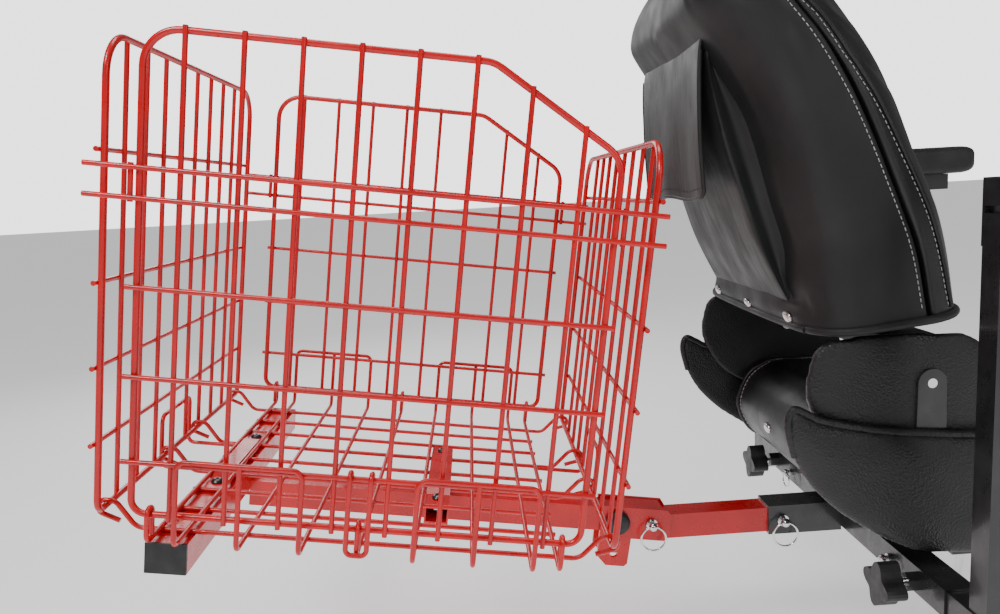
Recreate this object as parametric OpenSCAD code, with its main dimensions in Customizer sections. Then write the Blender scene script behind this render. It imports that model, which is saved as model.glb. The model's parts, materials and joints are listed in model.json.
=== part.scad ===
/* [Basket] */
// Distance between the centrelines of the right and left wall frames
basket_width = 490; // [440:1:540]
// Distance between the centrelines of the rear and front wall frames
basket_length = 505.6; // [440:0.1:580]
// Height of the side walls above their bottom wire
side_wall_h = 444; // [380:1:500]
// Height of the rear wall's top wire above the side walls' bottom wire
rear_wall_top = 440; // [380:1:500]
// Height of the front wall's top wire above the side walls' bottom wire
front_wall_top = 392; // [340:1:440]
// Diameter of the heavy wire around each wall
frame_wire_d = 6.5; // [5.5:0.1:8]
// Diameter of the mesh, floor and hook wires
mesh_wire_d = 5; // [4:0.1:6]
// Spacing of a side wall's upright wires
side_pitch = 50.8; // [44:0.1:56]
// Spacing of an end wall's upright wires
end_pitch = 48.6; // [42:0.1:52]
// Spacing of the long floor wires
floor_pitch = 53; // [46:0.5:56]
// Depth of the floor below the side walls' bottom wire
floor_drop = 30; // [26:1:40]
// Tilt of the basket about the hitch pivot, rear end up
basket_tilt = 8.5; // [0:0.5:12]

/* [Hitch] */
// Outside width of the square main tube and hitch arm
tube_w = 31.75; // [28:0.05:34]
// Wall thickness of the square tubes
tube_wall = 2.5; // [2:0.1:3.5]
// Gap between the arm and the receiver around it, each side
receiver_gap = 0.125; // [0.1:0.005:0.5]
// Wall thickness of the receiver tube
receiver_wall = 3; // [2.5:0.1:5]
// Length of the receiver tube
receiver_len = 95; // [80:1:140]
// Length of the arm that shows between the clevis and the receiver
arm_reach = 196; // [160:1:240]
// Thickness of a clevis plate
clevis_plate = 5; // [4:0.1:7]
// Distance from the pivot to the lock pin
lock_reach = 44; // [40:0.5:52]
// Diameter of the pivot bolt
pivot_d = 12; // [10:0.1:14]
// Diameter of the two quick-release pins
pin_d = 9.5; // [8:0.1:11]
// Outside diameter of a pin's split ring
ring_od = 34; // [26:1:40]

/* [Seat] */
// Width across the back cushion
back_width = 400; // [360:1:440]
// Width across the moulded seat base
base_width = 416; // [390:1:450]
// Height of the cushion top above the hitch pivot
cushion_top = 158; // [140:1:170]
// Width across the pocket on the back
pocket_width = 250; // [200:1:300]
// Width of the socket tube, front to rear
socket_w = 34; // [30:0.5:38]
// Height of the socket tube
socket_h = 30; // [26:0.5:34]
// Overall length of the socket tube
socket_len = 480; // [440:1:520]
// Distance from the middle to a clamping knob
knob_y = 192; // [175:1:205]
// Distance from the middle to an armrest
armrest_y = 285; // [270:1:310]
// Height of an armrest's hinge above the bottom of the seat post
armrest_hinge_z = 630; // [560:1:660]
// Length of an armrest pad
pad_len = 310; // [240:1:340]

/* [Seat post] */
// Diameter of the seat post
post_d = 60; // [45:0.5:70]
// Height of the hitch pivot above the bottom of the seat post
pivot_z = 230; // [215:1:300]
// Distance from the seat post back to the hitch pivot
pivot_back = 490; // [470:1:560]

/* [Hidden] */
wire_fn = 24;
round_fn = 48;
tiny = 0.01;

// A straight length laps a little way into its bends, and is this much thicker than they are
lap = 0.3;
lap_rise = 0.12;

// Wall planes of the basket, in the basket's own frame
half_w = basket_width / 2;
half_l = basket_length / 2;
weld_sink = 0.45;
upright_out = 3;
rail_out = (frame_wire_d + mesh_wire_d) / 2 - weld_sink;
stub = 5;
end_wall_z = -10;
end_half = half_w - 16;
side_half = half_l - 38.4;
side_uprights = 8;
first_side_upright = -(side_uprights - 1) / 2 * side_pitch;
end_uprights = 8;
side_rails = [52, 133, 216];
side_bars = [296, 323];
bar_reach = half_l + 9;
link_x = side_half + 7.6;
end_rails = [58, 133, 214, 336];
bend_x = 90;
front_drop = 73;

// Floor wires and the hooks that hold the walls' bottom wires
floor_wires = 9;
floor_z = -floor_drop;
cross_z = floor_z + mesh_wire_d - 1;
cross_x = [-197, -170, -112, -54, 0, 54, 112, 170, 197];
hook_gap = 0.6;
hook_r = (frame_wire_d + mesh_wire_d) / 2 + hook_gap;
gate_gap = 1.2;
side_gate_y = half_w + rail_out + mesh_wire_d + gate_gap;
side_gate_top = side_rails[0] + 5.5;
end_gate_x = half_l + upright_out + mesh_wire_d + gate_gap;
end_gate_top = 32;
end_gate_y = floor_pitch - 7;
end_gate_foot = 66;

// Tubes under the basket
pivot_bx = half_l + 49.2;
pivot_bz = -68;
cross_tube_w = 40;
cross_tube_h = 31;
cross_tube_x = -183.5;
cross_tube_top = floor_z - mesh_wire_d / 2;
cross_tube_len = 470;
main_rear_x = cross_tube_x + cross_tube_w / 2;
main_front_x = pivot_bx + lock_reach - pin_d / 2 - 4;
strap_t = 3;
strap_len = 206;
strap_flat = 62;
strap_step = 72;
strap_bolt_y = 83;
rear_strap_w = 20;
front_strap_w = 28;
front_strap_x = 72;
clamp_bolt_d = 8;
clamp_head_d = 14;
clamp_head_h = 4.4;
cap_skin = 3;

// Hitch clevis, arm and receiver
clevis_gap = 0.4;
plate_in = tube_w / 2 + clevis_gap;
plate_out = plate_in + clevis_plate;
hole_gap = 0.1;
run_gap = 0.05;
clevis_back = 21;
clevis_front = 69;
clevis_top = 19;
clevis_bottom = 22;
lobe_front = 19;
lobe_bottom = lock_reach + 16;
pivot_cap_d = 30;
arm_drop = 14;
arm_start = 50;
arm_inside = receiver_len - 8;
receiver_w = tube_w + 2 * (receiver_gap + receiver_wall);
receiver_pin_x = arm_reach + 18;
ring_wire = 2.6;
ring_r = (ring_od - ring_wire) / 2;
ring_play = 0.3;
pin_head = 11;
ring_hole = cross_hole(ring_r, ring_wire, pin_head);
lock_head_y = plate_out + 10;
receiver_head_y = receiver_w / 2 + 10;

// Frame under the seat, in the seat's frame
socket_wall = 2;
socket_x = arm_reach + receiver_len + socket_w / 2 - pivot_back;
socket_z = pivot_z - 13;
bar_gap = 0.3;
bar_w = socket_w - 2 * (socket_wall + bar_gap);
bar_h = socket_h - 2 * (socket_wall + bar_gap);
bar_inner_y = knob_y - 46;
rail_w = 25;
rail_y = 95;
frame_front = 165;
rail_z = socket_z;
swivel_plate_w = 2 * rail_y + rail_w;
swivel_plate_t = 6;
swivel_top = rail_z - rail_w / 2;
bearing_h = 12;
bearing_gap = 0.4;
flange_d = 130;
flange_t = 8;
post_top = swivel_top - swivel_plate_t - bearing_h - flange_t - 2 * bearing_gap;
lever_x = 40;
lever_d = 10;
lever_out = 215;
stud_d = 10;
knob_len = 22;
knob_r = 26;
knob_lobe = 5;
knob_x = socket_x - socket_w / 2 - 46;
nut_h = 14;
stop_y = knob_y - 54;
stop_d = 6;
small_ring_od = 24;
small_ring_wire = 2;
small_ring_r = (small_ring_od - small_ring_wire) / 2;
stop_head = 8.5;
small_ring_hole = cross_hole(small_ring_r, small_ring_wire, stop_head);
stop_head_x = socket_x - socket_w / 2 - 9;

// Armrests
upright_w = 25.4;
arm_w = 22;
arm_h = 24;
ear_t = 3;
ear_gap = 0.4;
arm_bolt_d = 10;
pad_w = 60;
pad_t = 42;
pad_start = 22;

// Seat cushions, measured from the hitch pivot as [forward, up]
hinge_x = 300;
hinge_z = 205;
cheek_t = 12;
cheek_in = 180;
bracket_t = 3;
bracket_gap = 0.5;
hinge_bolt_d = 10;
cushion_half = 172;
shell_t = 12;
pan_z = 20;
pan_t = 6;
board_t = 12;
skin_gap = 1;
back_top = 690;
shoulder_r = 150;
snap_d = 14;

wing_profile = [[150, 195], [146, 168], [152, 140], [171, 105], [203, 72], [261, 35], [315, pan_z],
    [640, pan_z], [690, 45], [704, 95], [650, 122], [500, 136], [363, 147], [259, 157], [187, 174]];
cushion_profile = [[236, 46], [218, 72], [214, 100], [228, cushion_top - 23],
    [255, cushion_top - 6], [300, cushion_top], [640, cushion_top], [684, cushion_top - 14],
    [706, 112], [702, 66], [684, 34], [660, pan_z + pan_t + skin_gap],
    [300, pan_z + pan_t + skin_gap], [262, 38]];
cheek_profile = [[190, 250], [172, 196], [200, 142], [262, 112], [372, 112], [386, 170], [360, 250]];
rear_line = [[187, 255], [185, 335], [170, 392], [140, 490], [98, 566], [72, 606], [74, 632],
    [98, 660], [140, back_top - 8]];
seam_line = [[298, 255], [286, 330], [260, 406], [210, 512], [168, 575], [140, 620], [138, 650],
    [160, back_top - 8]];
front_line = [[320, hinge_z + 24], [338, 232], [344, 271], [326, 361], [293, 450], [262, 520],
    [227, 584], [206, 640], [186, back_top - 8]];
pocket_line = [[183, 287], [112, 468], [97, 540], [95, 562]];
flap_line = [[88, 574], [84, 560], [88, 404]];

function unit(v) = v / norm(v);
function turn(a, b, c) = acos(unit(b - a) * unit(c - b));
function reach(a, b, c, r) = r * tan(turn(a, b, c) / 2);
function shift_x(line, dx) = [for (p = line) p + [dx, 0]];
function reversed(line) = [for (i = [len(line) - 1:-1:0]) line[i]];

// A straight length of round wire
module straight(a, b, d) {
    v = b - a;
    if (norm(v) > 0.02)
        translate(a) rotate([0, acos(v.z / norm(v)), atan2(v.y, v.x)])
            cylinder(h = norm(v), d = d, $fn = wire_fn);
}

// The bend in a wire at b, on its way from a to c
module bend(a, b, c, r, d) {
    u = unit(b - a);
    w = unit(c - b);
    n = unit(w - u * (u * w));
    centre = b - u * reach(a, b, c, r) + n * r;
    k = cross(-n, u);
    multmatrix([[-n.x, u.x, k.x, centre.x], [-n.y, u.y, k.y, centre.y],
            [-n.z, u.z, k.z, centre.z], [0, 0, 0, 1]])
        rotate_extrude(angle = turn(a, b, c), $fn = round_fn)
            translate([r, 0]) circle(d = d, $fn = wire_fn);
}

// An open wire through the points, with a bend radius at each inner point
module rod(points, radii, d) {
    last = len(points) - 1;
    for (i = [0:last - 1]) {
        a = points[i];
        b = points[i + 1];
        u = unit(b - a);
        from = i == 0 ? 0 : reach(points[i - 1], a, b, radii[i]) - lap;
        to = i == last - 1 ? 0 : reach(a, b, points[i + 2], radii[i + 1]) - lap;
        straight(a + u * from, b - u * to, d + lap_rise);
    }
    if (last > 1)
        for (i = [1:last - 1])
            bend(points[i - 1], points[i], points[i + 1], radii[i], d);
}

// A closed wire through the points
module hoop(points, radii, d) {
    n = len(points);
    for (i = [0:n - 1]) {
        a = points[i];
        b = points[(i + 1) % n];
        c = points[(i + 2) % n];
        z = points[(i + n - 1) % n];
        u = unit(b - a);
        straight(a + u * (reach(z, a, b, radii[i]) - lap),
            b - u * (reach(a, b, c, radii[(i + 1) % n]) - lap), d + lap_rise);
        bend(a, b, c, radii[(i + 1) % n], d);
    }
}

module wire_x(x0, x1, y, z) {
    straight([x0, y, z], [x1, y, z], mesh_wire_d);
}

module wire_y(y0, y1, x, z) {
    straight([x, y0, z], [x, y1, z], mesh_wire_d);
}

module wire_z(z0, z1, x, y) {
    straight([x, y, z0], [x, y, z1], mesh_wire_d);
}

// A bar, bore or boss along Y
module along_y(y0, y1, x, z, d) {
    translate([x, y0, z]) rotate([-90, 0, 0]) cylinder(h = y1 - y0, d = d, $fn = round_fn);
}

module along_x(x0, x1, y, z, d) {
    translate([x0, y, z]) rotate([0, 90, 0]) cylinder(h = x1 - x0, d = d, $fn = round_fn);
}

module block(lo, hi) {
    translate(lo) cube(hi - lo);
}

// A side view outline, given as [forward, up], spread from y0 to y1
module slab(outline, y0, y1) {
    translate([0, y1, 0]) rotate([90, 0, 0]) linear_extrude(y1 - y0) polygon(outline);
}

// The basket's frame: its middle, at the side walls' bottom wire
module at_basket() {
    translate([-pivot_back, 0, pivot_z]) rotate([0, basket_tilt, 0])
        translate([-pivot_bx, 0, -pivot_bz]) children();
}

// The level frame at the hitch pivot
module at_pivot() {
    translate([-pivot_back, 0, pivot_z]) children();
}

function slope_z(x) = x <= bend_x ? side_wall_h
    : side_wall_h - (x - bend_x) * front_drop / (side_half - bend_x);

// A side wall, drawn as the right one
module side_wall() {
    y = -half_w;
    hoop([[-side_half, y, 0], [-side_half, y, side_wall_h], [bend_x, y, side_wall_h],
            [side_half, y, side_wall_h - front_drop], [side_half, y, 0]],
        [14, 33, 30, 30, 14], frame_wire_d);
    for (i = [0:side_uprights - 1]) {
        x = first_side_upright + i * side_pitch;
        wire_z(-frame_wire_d / 2 - 1.5, slope_z(x) + frame_wire_d / 2 + 0.8, x, y - upright_out);
    }
    for (z = side_rails)
        wire_x(-side_half - frame_wire_d / 2 - stub, side_half + frame_wire_d / 2 + stub,
            y - rail_out, z);
    for (z = side_bars)
        wire_x(-bar_reach, bar_reach, y - rail_out, z);
    for (x = [-link_x, link_x])
        wire_z(side_bars[0] - 4, side_bars[1] + 4, x, y - rail_out + mesh_wire_d - 1);
}

// An end wall of the given top height, drawn as the rear one
module end_wall(top) {
    x = -half_l;
    hoop([[x, -end_half, end_wall_z], [x, end_half, end_wall_z], [x, end_half, top],
            [x, -end_half, top]], [12, 12, 38, 38], frame_wire_d);
    for (i = [1:end_uprights])
        wire_z(end_wall_z - 3, top + 3, x - upright_out, -end_half + i * end_pitch);
    for (z = end_rails)
        wire_y(-end_half - frame_wire_d / 2 - 2.2, end_half + frame_wire_d / 2 + 2.2,
            x - rail_out, z);
}

// Corners of the hook that curls over an end wall's bottom wire, from its tip inwards
function end_hook(y, side) = [for (p = [[15, -14], [-hook_r, -hook_r], [-hook_r, hook_r],
    [9.5, hook_r], [31, floor_z - end_wall_z]])
    [side * (half_l - p[0]), y, end_wall_z + p[1]]];

// Corners of the hook that curls over a side wall's bottom wire, from its tip outwards
function side_hook(x, side) = [for (p = [[-hook_r, cross_z + mesh_wire_d / 2 + 1], [-hook_r, hook_r],
    [hook_r, hook_r], [hook_r, cross_z]])
    [x, side * (half_w + p[0]), p[1]]];

// Two cross wires in one closed loop: a gate outside each side wall, joined under the floor
module gate_pair(x0, x1) {
    y = side_gate_y;
    top = side_gate_top;
    hoop([[x0, -y, cross_z], [x0, -y, top], [x1, -y, top], [x1, -y, cross_z],
            [x1, y, cross_z], [x1, y, top], [x0, y, top], [x0, y, cross_z]],
        [8, 9, 9, 8, 8, 9, 9, 8], mesh_wire_d);
}

// The cross wire in the middle of a gate
module gate_middle(x) {
    y = side_gate_y;
    rod([[x, -y, side_gate_top], [x, -y, cross_z], [x, y, cross_z], [x, y, side_gate_top]],
        [0, 8, 8, 0], mesh_wire_d);
}

// The gate that stands outside an end wall, drawn at the rear
module end_gate() {
    x = -end_gate_x;
    foot = x + end_gate_foot;
    rod([[foot, -end_gate_y, floor_z], [x, -end_gate_y, floor_z], [x, -end_gate_y, end_gate_top],
            [x, end_gate_y, end_gate_top], [x, end_gate_y, floor_z], [foot, end_gate_y, floor_z]],
        [0, 8, 9, 9, 8, 0], mesh_wire_d);
}

module basket_floor() color([0.8, 0.03, 0.04]) at_basket() {
    middle = (floor_wires + 1) / 2;
    for (i = [1:floor_wires]) {
        y = (middle - i) * floor_pitch;
        if (i == 1 || i == 4 || i == 6 || i == 9)
            rod(concat(end_hook(y, -1), reversed(end_hook(y, 1))),
                [0, hook_r, hook_r, 12, 16, 16, 12, hook_r, hook_r, 0], mesh_wire_d);
        else
            wire_x(cross_x[0] - 6, cross_x[8] + 6, y, floor_z);
    }
    for (x = [cross_x[0], cross_x[4], cross_x[8]])
        rod(concat(side_hook(x, -1), reversed(side_hook(x, 1))),
            [0, hook_r, hook_r, 8, 8, hook_r, hook_r, 0], mesh_wire_d);
    for (first = [1, 5]) {
        gate_pair(cross_x[first], cross_x[first + 2]);
        gate_middle(cross_x[first + 1]);
    }
    for (end = [0, 1])
        mirror([end, 0, 0]) end_gate();
}

module basket_right_wall() color([0.82, 0.03, 0.04]) at_basket() side_wall();

module basket_left_wall() color([0.82, 0.03, 0.04]) at_basket() mirror([0, 1, 0]) side_wall();

module basket_rear_wall() color([0.8, 0.03, 0.04]) at_basket() end_wall(rear_wall_top);

module basket_front_wall() color([0.8, 0.03, 0.04]) at_basket()
    mirror([1, 0, 0]) end_wall(front_wall_top);

// A narrow loop of wire that hangs from the right wall's lowest rail
module wall_keeper_loop() color([0.8, 0.03, 0.04]) at_basket() {
    y = -half_w - rail_out;
    z = side_rails[0];
    r = mesh_wire_d + hook_gap;
    leg_y = y - r;
    foot = z - 74;
    for (x = [-10, 10])
        rod([[x, y + r, z - 5], [x, y + r, z + r], [x, leg_y, z + r], [x, leg_y, foot + 12]],
            [0, r, r, 0], mesh_wire_d);
    rod([[-10, leg_y, foot + 12], [-10, leg_y, foot], [10, leg_y, foot], [10, leg_y, foot + 12]],
        [0, 6, 6, 0], mesh_wire_d);
}

module basket_main_tube() color([0.78, 0.03, 0.04]) at_basket() difference() {
    h = tube_w / 2;
    block([main_rear_x, -h, pivot_bz - h], [main_front_x, h, pivot_bz + h]);
    block([main_rear_x - 1, -h + tube_wall, pivot_bz - h + tube_wall],
        [main_front_x + 1, h - tube_wall, pivot_bz + h - tube_wall]);
    along_y(-h - 1, h + 1, pivot_bx, pivot_bz, pivot_d + 2 * run_gap);
}

module basket_cross_tube() color([0.78, 0.03, 0.04]) at_basket() difference() {
    w = cross_tube_w / 2;
    lo = cross_tube_top - cross_tube_h;
    len = cross_tube_len / 2;
    block([cross_tube_x - w, -len, lo], [cross_tube_x + w, len, cross_tube_top]);
    block([cross_tube_x - w + tube_wall, -len - 1, lo + tube_wall],
        [cross_tube_x + w - tube_wall, len + 1, cross_tube_top - tube_wall]);
    for (y = [-strap_bolt_y, strap_bolt_y])
        translate([cross_tube_x, y, cross_tube_top - tube_wall - 1])
            cylinder(h = tube_wall + 2, d = clamp_bolt_d + 2 * hole_gap, $fn = round_fn);
}

// A low tube across the main tube, under the floor wires
module front_cross_bar() color([0.78, 0.03, 0.04]) at_basket() difference() {
    top = cross_tube_top;
    lo = pivot_bz + tube_w / 2;
    w = front_strap_w / 2;
    l = strap_len / 2;
    block([front_strap_x - w, -l, lo], [front_strap_x + w, l, top]);
    block([front_strap_x - w + 2, -l - 1, lo + 2], [front_strap_x + w - 2, l + 1, top - 2]);
    for (y = [-strap_bolt_y, strap_bolt_y])
        translate([front_strap_x, y, top - 3])
            cylinder(h = 4, d = clamp_bolt_d + 2 * hole_gap, $fn = round_fn);
}

module cross_tube_caps() color([0.03, 0.03, 0.035]) at_basket()
    for (side = [0, 1])
        mirror([0, side, 0]) {
            w = cross_tube_w / 2;
            lo = cross_tube_top - cross_tube_h;
            y = cross_tube_len / 2;
            plug = tube_wall + 0.2;
            block([cross_tube_x - w, y + 0.05, lo], [cross_tube_x + w, y + cap_skin, cross_tube_top]);
            block([cross_tube_x - w + plug, y - 12, lo + plug],
                [cross_tube_x + w - plug, y + 0.05 + tiny, cross_tube_top - plug]);
        }

// A strap over the long floor wires, stepped down to the tube at both ends
module clamp_strap(x, w) {
    high = floor_z + mesh_wire_d / 2 + 0.1;
    low = cross_tube_top + 0.1;
    difference() {
        translate([x - w / 2, 0, 0]) rotate([90, 0, 90]) linear_extrude(w)
            polygon([[-strap_len / 2, low], [-strap_step, low], [-strap_flat, high],
                [strap_flat, high], [strap_step, low], [strap_len / 2, low],
                [strap_len / 2, low + strap_t], [strap_step, low + strap_t],
                [strap_flat, high + strap_t], [-strap_flat, high + strap_t],
                [-strap_step, low + strap_t], [-strap_len / 2, low + strap_t]]);
        for (y = [-strap_bolt_y, strap_bolt_y])
            translate([x, y, low - 1])
                cylinder(h = strap_t + 2, d = clamp_bolt_d + 2 * hole_gap, $fn = round_fn);
    }
}

module rear_clamp_strap() color([0.8, 0.05, 0.05]) at_basket()
    clamp_strap(cross_tube_x, rear_strap_w);

module front_clamp_strap() color([0.8, 0.05, 0.05]) at_basket()
    clamp_strap(front_strap_x, front_strap_w);

// Button-head bolt standing on a strap, shank down
module clamp_bolt(len) {
    translate([0, 0, -len]) cylinder(h = len + tiny, d = clamp_bolt_d, $fn = round_fn);
    difference() {
        rotate_extrude($fn = round_fn)
            polygon([[0, 0], [clamp_head_d / 2, 0], [clamp_head_d / 2, 1.4],
                [clamp_head_d / 2 - 1.6, 3.4], [clamp_head_d / 2 - 3.4, clamp_head_h],
                [0, clamp_head_h]]);
        translate([0, 0, clamp_head_h - 2.4]) cylinder(h = 4, d = 5, $fn = 6);
    }
}

module clamp_bolts() color([0.03, 0.03, 0.03]) at_basket()
    for (y = [-strap_bolt_y, strap_bolt_y]) {
        seat_z = cross_tube_top + 0.1 + strap_t + 0.05;
        translate([cross_tube_x, y, seat_z]) clamp_bolt(16);
        translate([front_strap_x, y, seat_z]) clamp_bolt(16);
    }

module clamp_nuts() color([0.6, 0.6, 0.62]) at_basket()
    for (y = [-strap_bolt_y, strap_bolt_y], x = [cross_tube_x, front_strap_x]) {
        wall = x == cross_tube_x ? tube_wall : 2;
        translate([x, y, cross_tube_top - wall - 7.1]) difference() {
            cylinder(h = 7, d = 14, $fn = 6);
            translate([0, 0, -1]) cylinder(h = 9, d = clamp_bolt_d + 2 * hole_gap, $fn = round_fn);
        }
    }

// One clevis plate's outline, from the pivot, as [forward, up]
clevis_outline = [[-clevis_back, clevis_top], [-clevis_back, -lobe_bottom + 12],
    [-clevis_back + 12, -lobe_bottom], [lobe_front - 4, -lobe_bottom],
    [lobe_front, -lobe_bottom + 4], [lobe_front + 1, -clevis_bottom],
    [clevis_front - 6, -clevis_bottom], [clevis_front, -clevis_bottom + 8],
    [clevis_front, clevis_top - 8], [clevis_front - 6, clevis_top]];

module hitch_arm() color([0.84, 0.04, 0.04]) {
    h = tube_w / 2;
    at_pivot() rotate([0, basket_tilt, 0]) difference() {
        union() {
            for (side = [0, 1])
                mirror([0, side, 0]) slab(clevis_outline, plate_in, plate_out);
            block([4, -plate_in - 1, h + 0.5], [arm_start + 8, plate_in + 1, clevis_top - 0.6]);
            block([arm_start + 2, -plate_in - 1, -clevis_bottom],
                [arm_start + 8, plate_in + 1, clevis_top - 0.6]);
        }
        along_y(-plate_out - 1, plate_out + 1, 0, 0, pivot_d + 2 * hole_gap);
        along_y(-plate_out - 1, plate_out + 1, lock_reach, 0, pin_d + 2 * run_gap);
        along_y(-plate_out - 1, plate_out + 1, 0, -lock_reach, pin_d + 2 * run_gap);
    }
    at_pivot() difference() {
        block([arm_start + 4, -h, -arm_drop - h], [arm_reach + arm_inside, h, -arm_drop + h]);
        block([arm_start + 12, -h + tube_wall, -arm_drop - h + tube_wall],
            [arm_reach + arm_inside + 1, h - tube_wall, -arm_drop + h - tube_wall]);
        along_y(-h - 1, h + 1, receiver_pin_x, -arm_drop, pin_d + 2 * run_gap);
    }
}

module pivot_bolt() color([0.05, 0.05, 0.05]) at_pivot() {
    along_y(-plate_out - 2, plate_out + 9, 0, 0, pivot_d);
    along_y(-plate_out - 8, -plate_out - 0.1, 0, 0, 20);
}

module pivot_nut() color([0.6, 0.6, 0.62]) at_pivot() difference() {
    translate([0, plate_out + 0.1, 0]) rotate([-90, 0, 0]) cylinder(h = 8, d = 21, $fn = 6);
    along_y(plate_out - 1, plate_out + 12, 0, 0, pivot_d + 2 * hole_gap);
}

// Snap-on domed caps over the pivot bolt's head and nut
module pivot_caps() color([0.02, 0.02, 0.022]) at_pivot()
    for (side = [0, 1])
        mirror([0, side, 0]) translate([0, -plate_out - 0.05, 0]) rotate([90, 0, 0])
            rotate_extrude($fn = round_fn)
                polygon([[pivot_cap_d / 2 - 2.5, 0], [pivot_cap_d / 2, 0], [pivot_cap_d / 2, 7],
                    [pivot_cap_d / 2 - 3, 10.4], [pivot_cap_d / 2 - 8, 12.4], [0, 13],
                    [0, 10.6], [pivot_cap_d / 2 - 4, 9.6], [pivot_cap_d / 2 - 2.5, 7.5]]);

// Hole through a round head that a ring of the given radius swings in freely
function cross_hole(r, wire, head) = wire + 2 * (r - sqrt(r * r - head * head / 4) + ring_play);

// Quick-release pin along Y, its head at the right, drilled across for its ring
module ring_pin(shank_to, collar_y, head_y) {
    r = pin_d / 2;
    difference() {
        union() {
            rotate([-90, 0, 0]) rotate_extrude($fn = round_fn)
                polygon([[0, -head_y + 3], [r - 0.6, -head_y + 3], [r - 0.6, -collar_y - 3.5],
                    [r + 2.5, -collar_y - 3.5], [r + 2.5, -collar_y - 0.3], [r, -collar_y - 0.3],
                    [r, shank_to - 3], [r - 1.5, shank_to], [0, shank_to]]);
            translate([0, -head_y, 0]) rotate([0, 0, -90]) sphere(d = pin_head, $fn = round_fn);
        }
        along_x(-pin_head, pin_head, -head_y, 0, ring_hole);
    }
}

// A ring that hangs from a cross hole at the origin, in the plane across Y
module hanging_ring(r, wire) {
    translate([0, 0, -r]) rotate([90, 0, 0]) rotate_extrude($fn = round_fn)
        translate([r, 0]) circle(d = wire, $fn = wire_fn);
}

module at_lock_pin() at_pivot() rotate([0, basket_tilt, 0]) translate([lock_reach, 0, 0]) children();

module at_receiver_pin() at_pivot() translate([receiver_pin_x, 0, -arm_drop]) children();

module hitch_lock_pin() color([0.8, 0.8, 0.82]) at_lock_pin()
    rotate([0, -basket_tilt, 0]) ring_pin(plate_out + 8, plate_out, lock_head_y);

module hitch_lock_ring() color([0.85, 0.85, 0.87]) at_lock_pin()
    translate([0, -lock_head_y, 0]) rotate([0, -basket_tilt, 0]) hanging_ring(ring_r, ring_wire);

module receiver_tube() color([0.03, 0.03, 0.033]) at_pivot() difference() {
    h = receiver_w / 2;
    in = h - receiver_wall;
    block([arm_reach, -h, -arm_drop - h], [arm_reach + receiver_len, h, -arm_drop + h]);
    block([arm_reach - 1, -in, -arm_drop - in], [arm_reach + receiver_len - 3, in, -arm_drop + in]);
    along_y(-h - 1, h + 1, receiver_pin_x, -arm_drop, pin_d + 2 * run_gap);
}

module receiver_pin() color([0.8, 0.8, 0.82]) at_receiver_pin()
    ring_pin(receiver_w / 2 + 8, receiver_w / 2, receiver_head_y);

module receiver_pin_ring() color([0.85, 0.85, 0.87]) at_receiver_pin()
    translate([0, -receiver_head_y, 0]) hanging_ring(ring_r, ring_wire);

module armrest_socket_tube() color([0.03, 0.03, 0.033]) difference() {
    w = socket_w / 2;
    h = socket_h / 2;
    l = socket_len / 2;
    block([socket_x - w, -l, socket_z - h], [socket_x + w, l, socket_z + h]);
    block([socket_x - w + socket_wall, -l - 1, socket_z - h + socket_wall],
        [socket_x + w - socket_wall, l + 1, socket_z + h - socket_wall]);
    for (y = [-knob_y, knob_y])
        along_x(socket_x - w - 1, socket_x, y, socket_z, stud_d + 2 * run_gap);
    for (y = [-stop_y, stop_y])
        along_x(socket_x - w - 1, socket_x + w + 1, y, socket_z, stop_d + 2 * run_gap);
}

module seat_frame() color([0.03, 0.03, 0.033]) {
    back = socket_x + socket_w / 2;
    h = rail_w / 2;
    for (y = [-rail_y, rail_y]) difference() {
        block([back, y - h, rail_z - h], [frame_front, y + h, rail_z + h]);
        block([back - 1, y - h + 2, rail_z - h + 2], [frame_front + 1, y + h - 2, rail_z + h - 2]);
    }
    difference() {
        block([frame_front, -rail_y - h, rail_z - h], [frame_front + rail_w, rail_y + h, rail_z + h]);
        block([frame_front + 2, -rail_y - h - 1, rail_z - h + 2],
            [frame_front + rail_w - 2, rail_y + h + 1, rail_z + h - 2]);
    }
}

// Flat plate welded under the rails, with the hub that turns on the post's spigot
module swivel_plate() color([0.04, 0.04, 0.045]) difference() {
    h = swivel_plate_w / 2;
    block([-h, -h, swivel_top - swivel_plate_t], [h, h, swivel_top]);
    translate([0, 0, swivel_top - swivel_plate_t - 1])
        cylinder(h = swivel_plate_t + 2, d = 30 + 2 * run_gap, $fn = round_fn);
}

module swivel_bearing() color([0.7, 0.7, 0.72]) difference() {
    translate([0, 0, post_top + flange_t + bearing_gap])
        cylinder(h = bearing_h - 0.4, d = flange_d - 14, $fn = round_fn);
    translate([0, 0, post_top]) cylinder(h = 60, d = 31, $fn = round_fn);
}

module seat_post() color([0.8, 0.8, 0.82]) difference() {
    union() {
        cylinder(h = post_top + tiny, d = post_d, $fn = round_fn);
        translate([0, 0, post_top]) cylinder(h = flange_t, d = flange_d, $fn = round_fn);
        translate([0, 0, post_top]) cylinder(h = swivel_top - post_top - 1, d = 30, $fn = round_fn);
    }
    translate([0, 0, -1]) cylinder(h = post_top - 11, d = post_d - 8, $fn = round_fn);
}

lever_z = swivel_top - swivel_plate_t - 8;
lever_in = swivel_plate_w / 2 - 14;

// Release lever under the right edge of the plate
module swivel_lever() color([0.05, 0.05, 0.055]) {
    along_y(-lever_out, -lever_in, lever_x, lever_z, lever_d);
    block([lever_x - 14, -lever_in - 1, lever_z - 7], [lever_x + 14, -lever_in + 7, lever_z + 7]);
}

module swivel_lever_grip() color([0.02, 0.02, 0.02])
    translate([lever_x, -lever_out - 0.05, lever_z]) rotate([90, 0, 0]) rotate_extrude($fn = round_fn)
        polygon([[0, 0], [6, 0], [7.5, 4], [7.5, 26], [6, 30], [3, 32], [0, 32.5]]);

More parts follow.
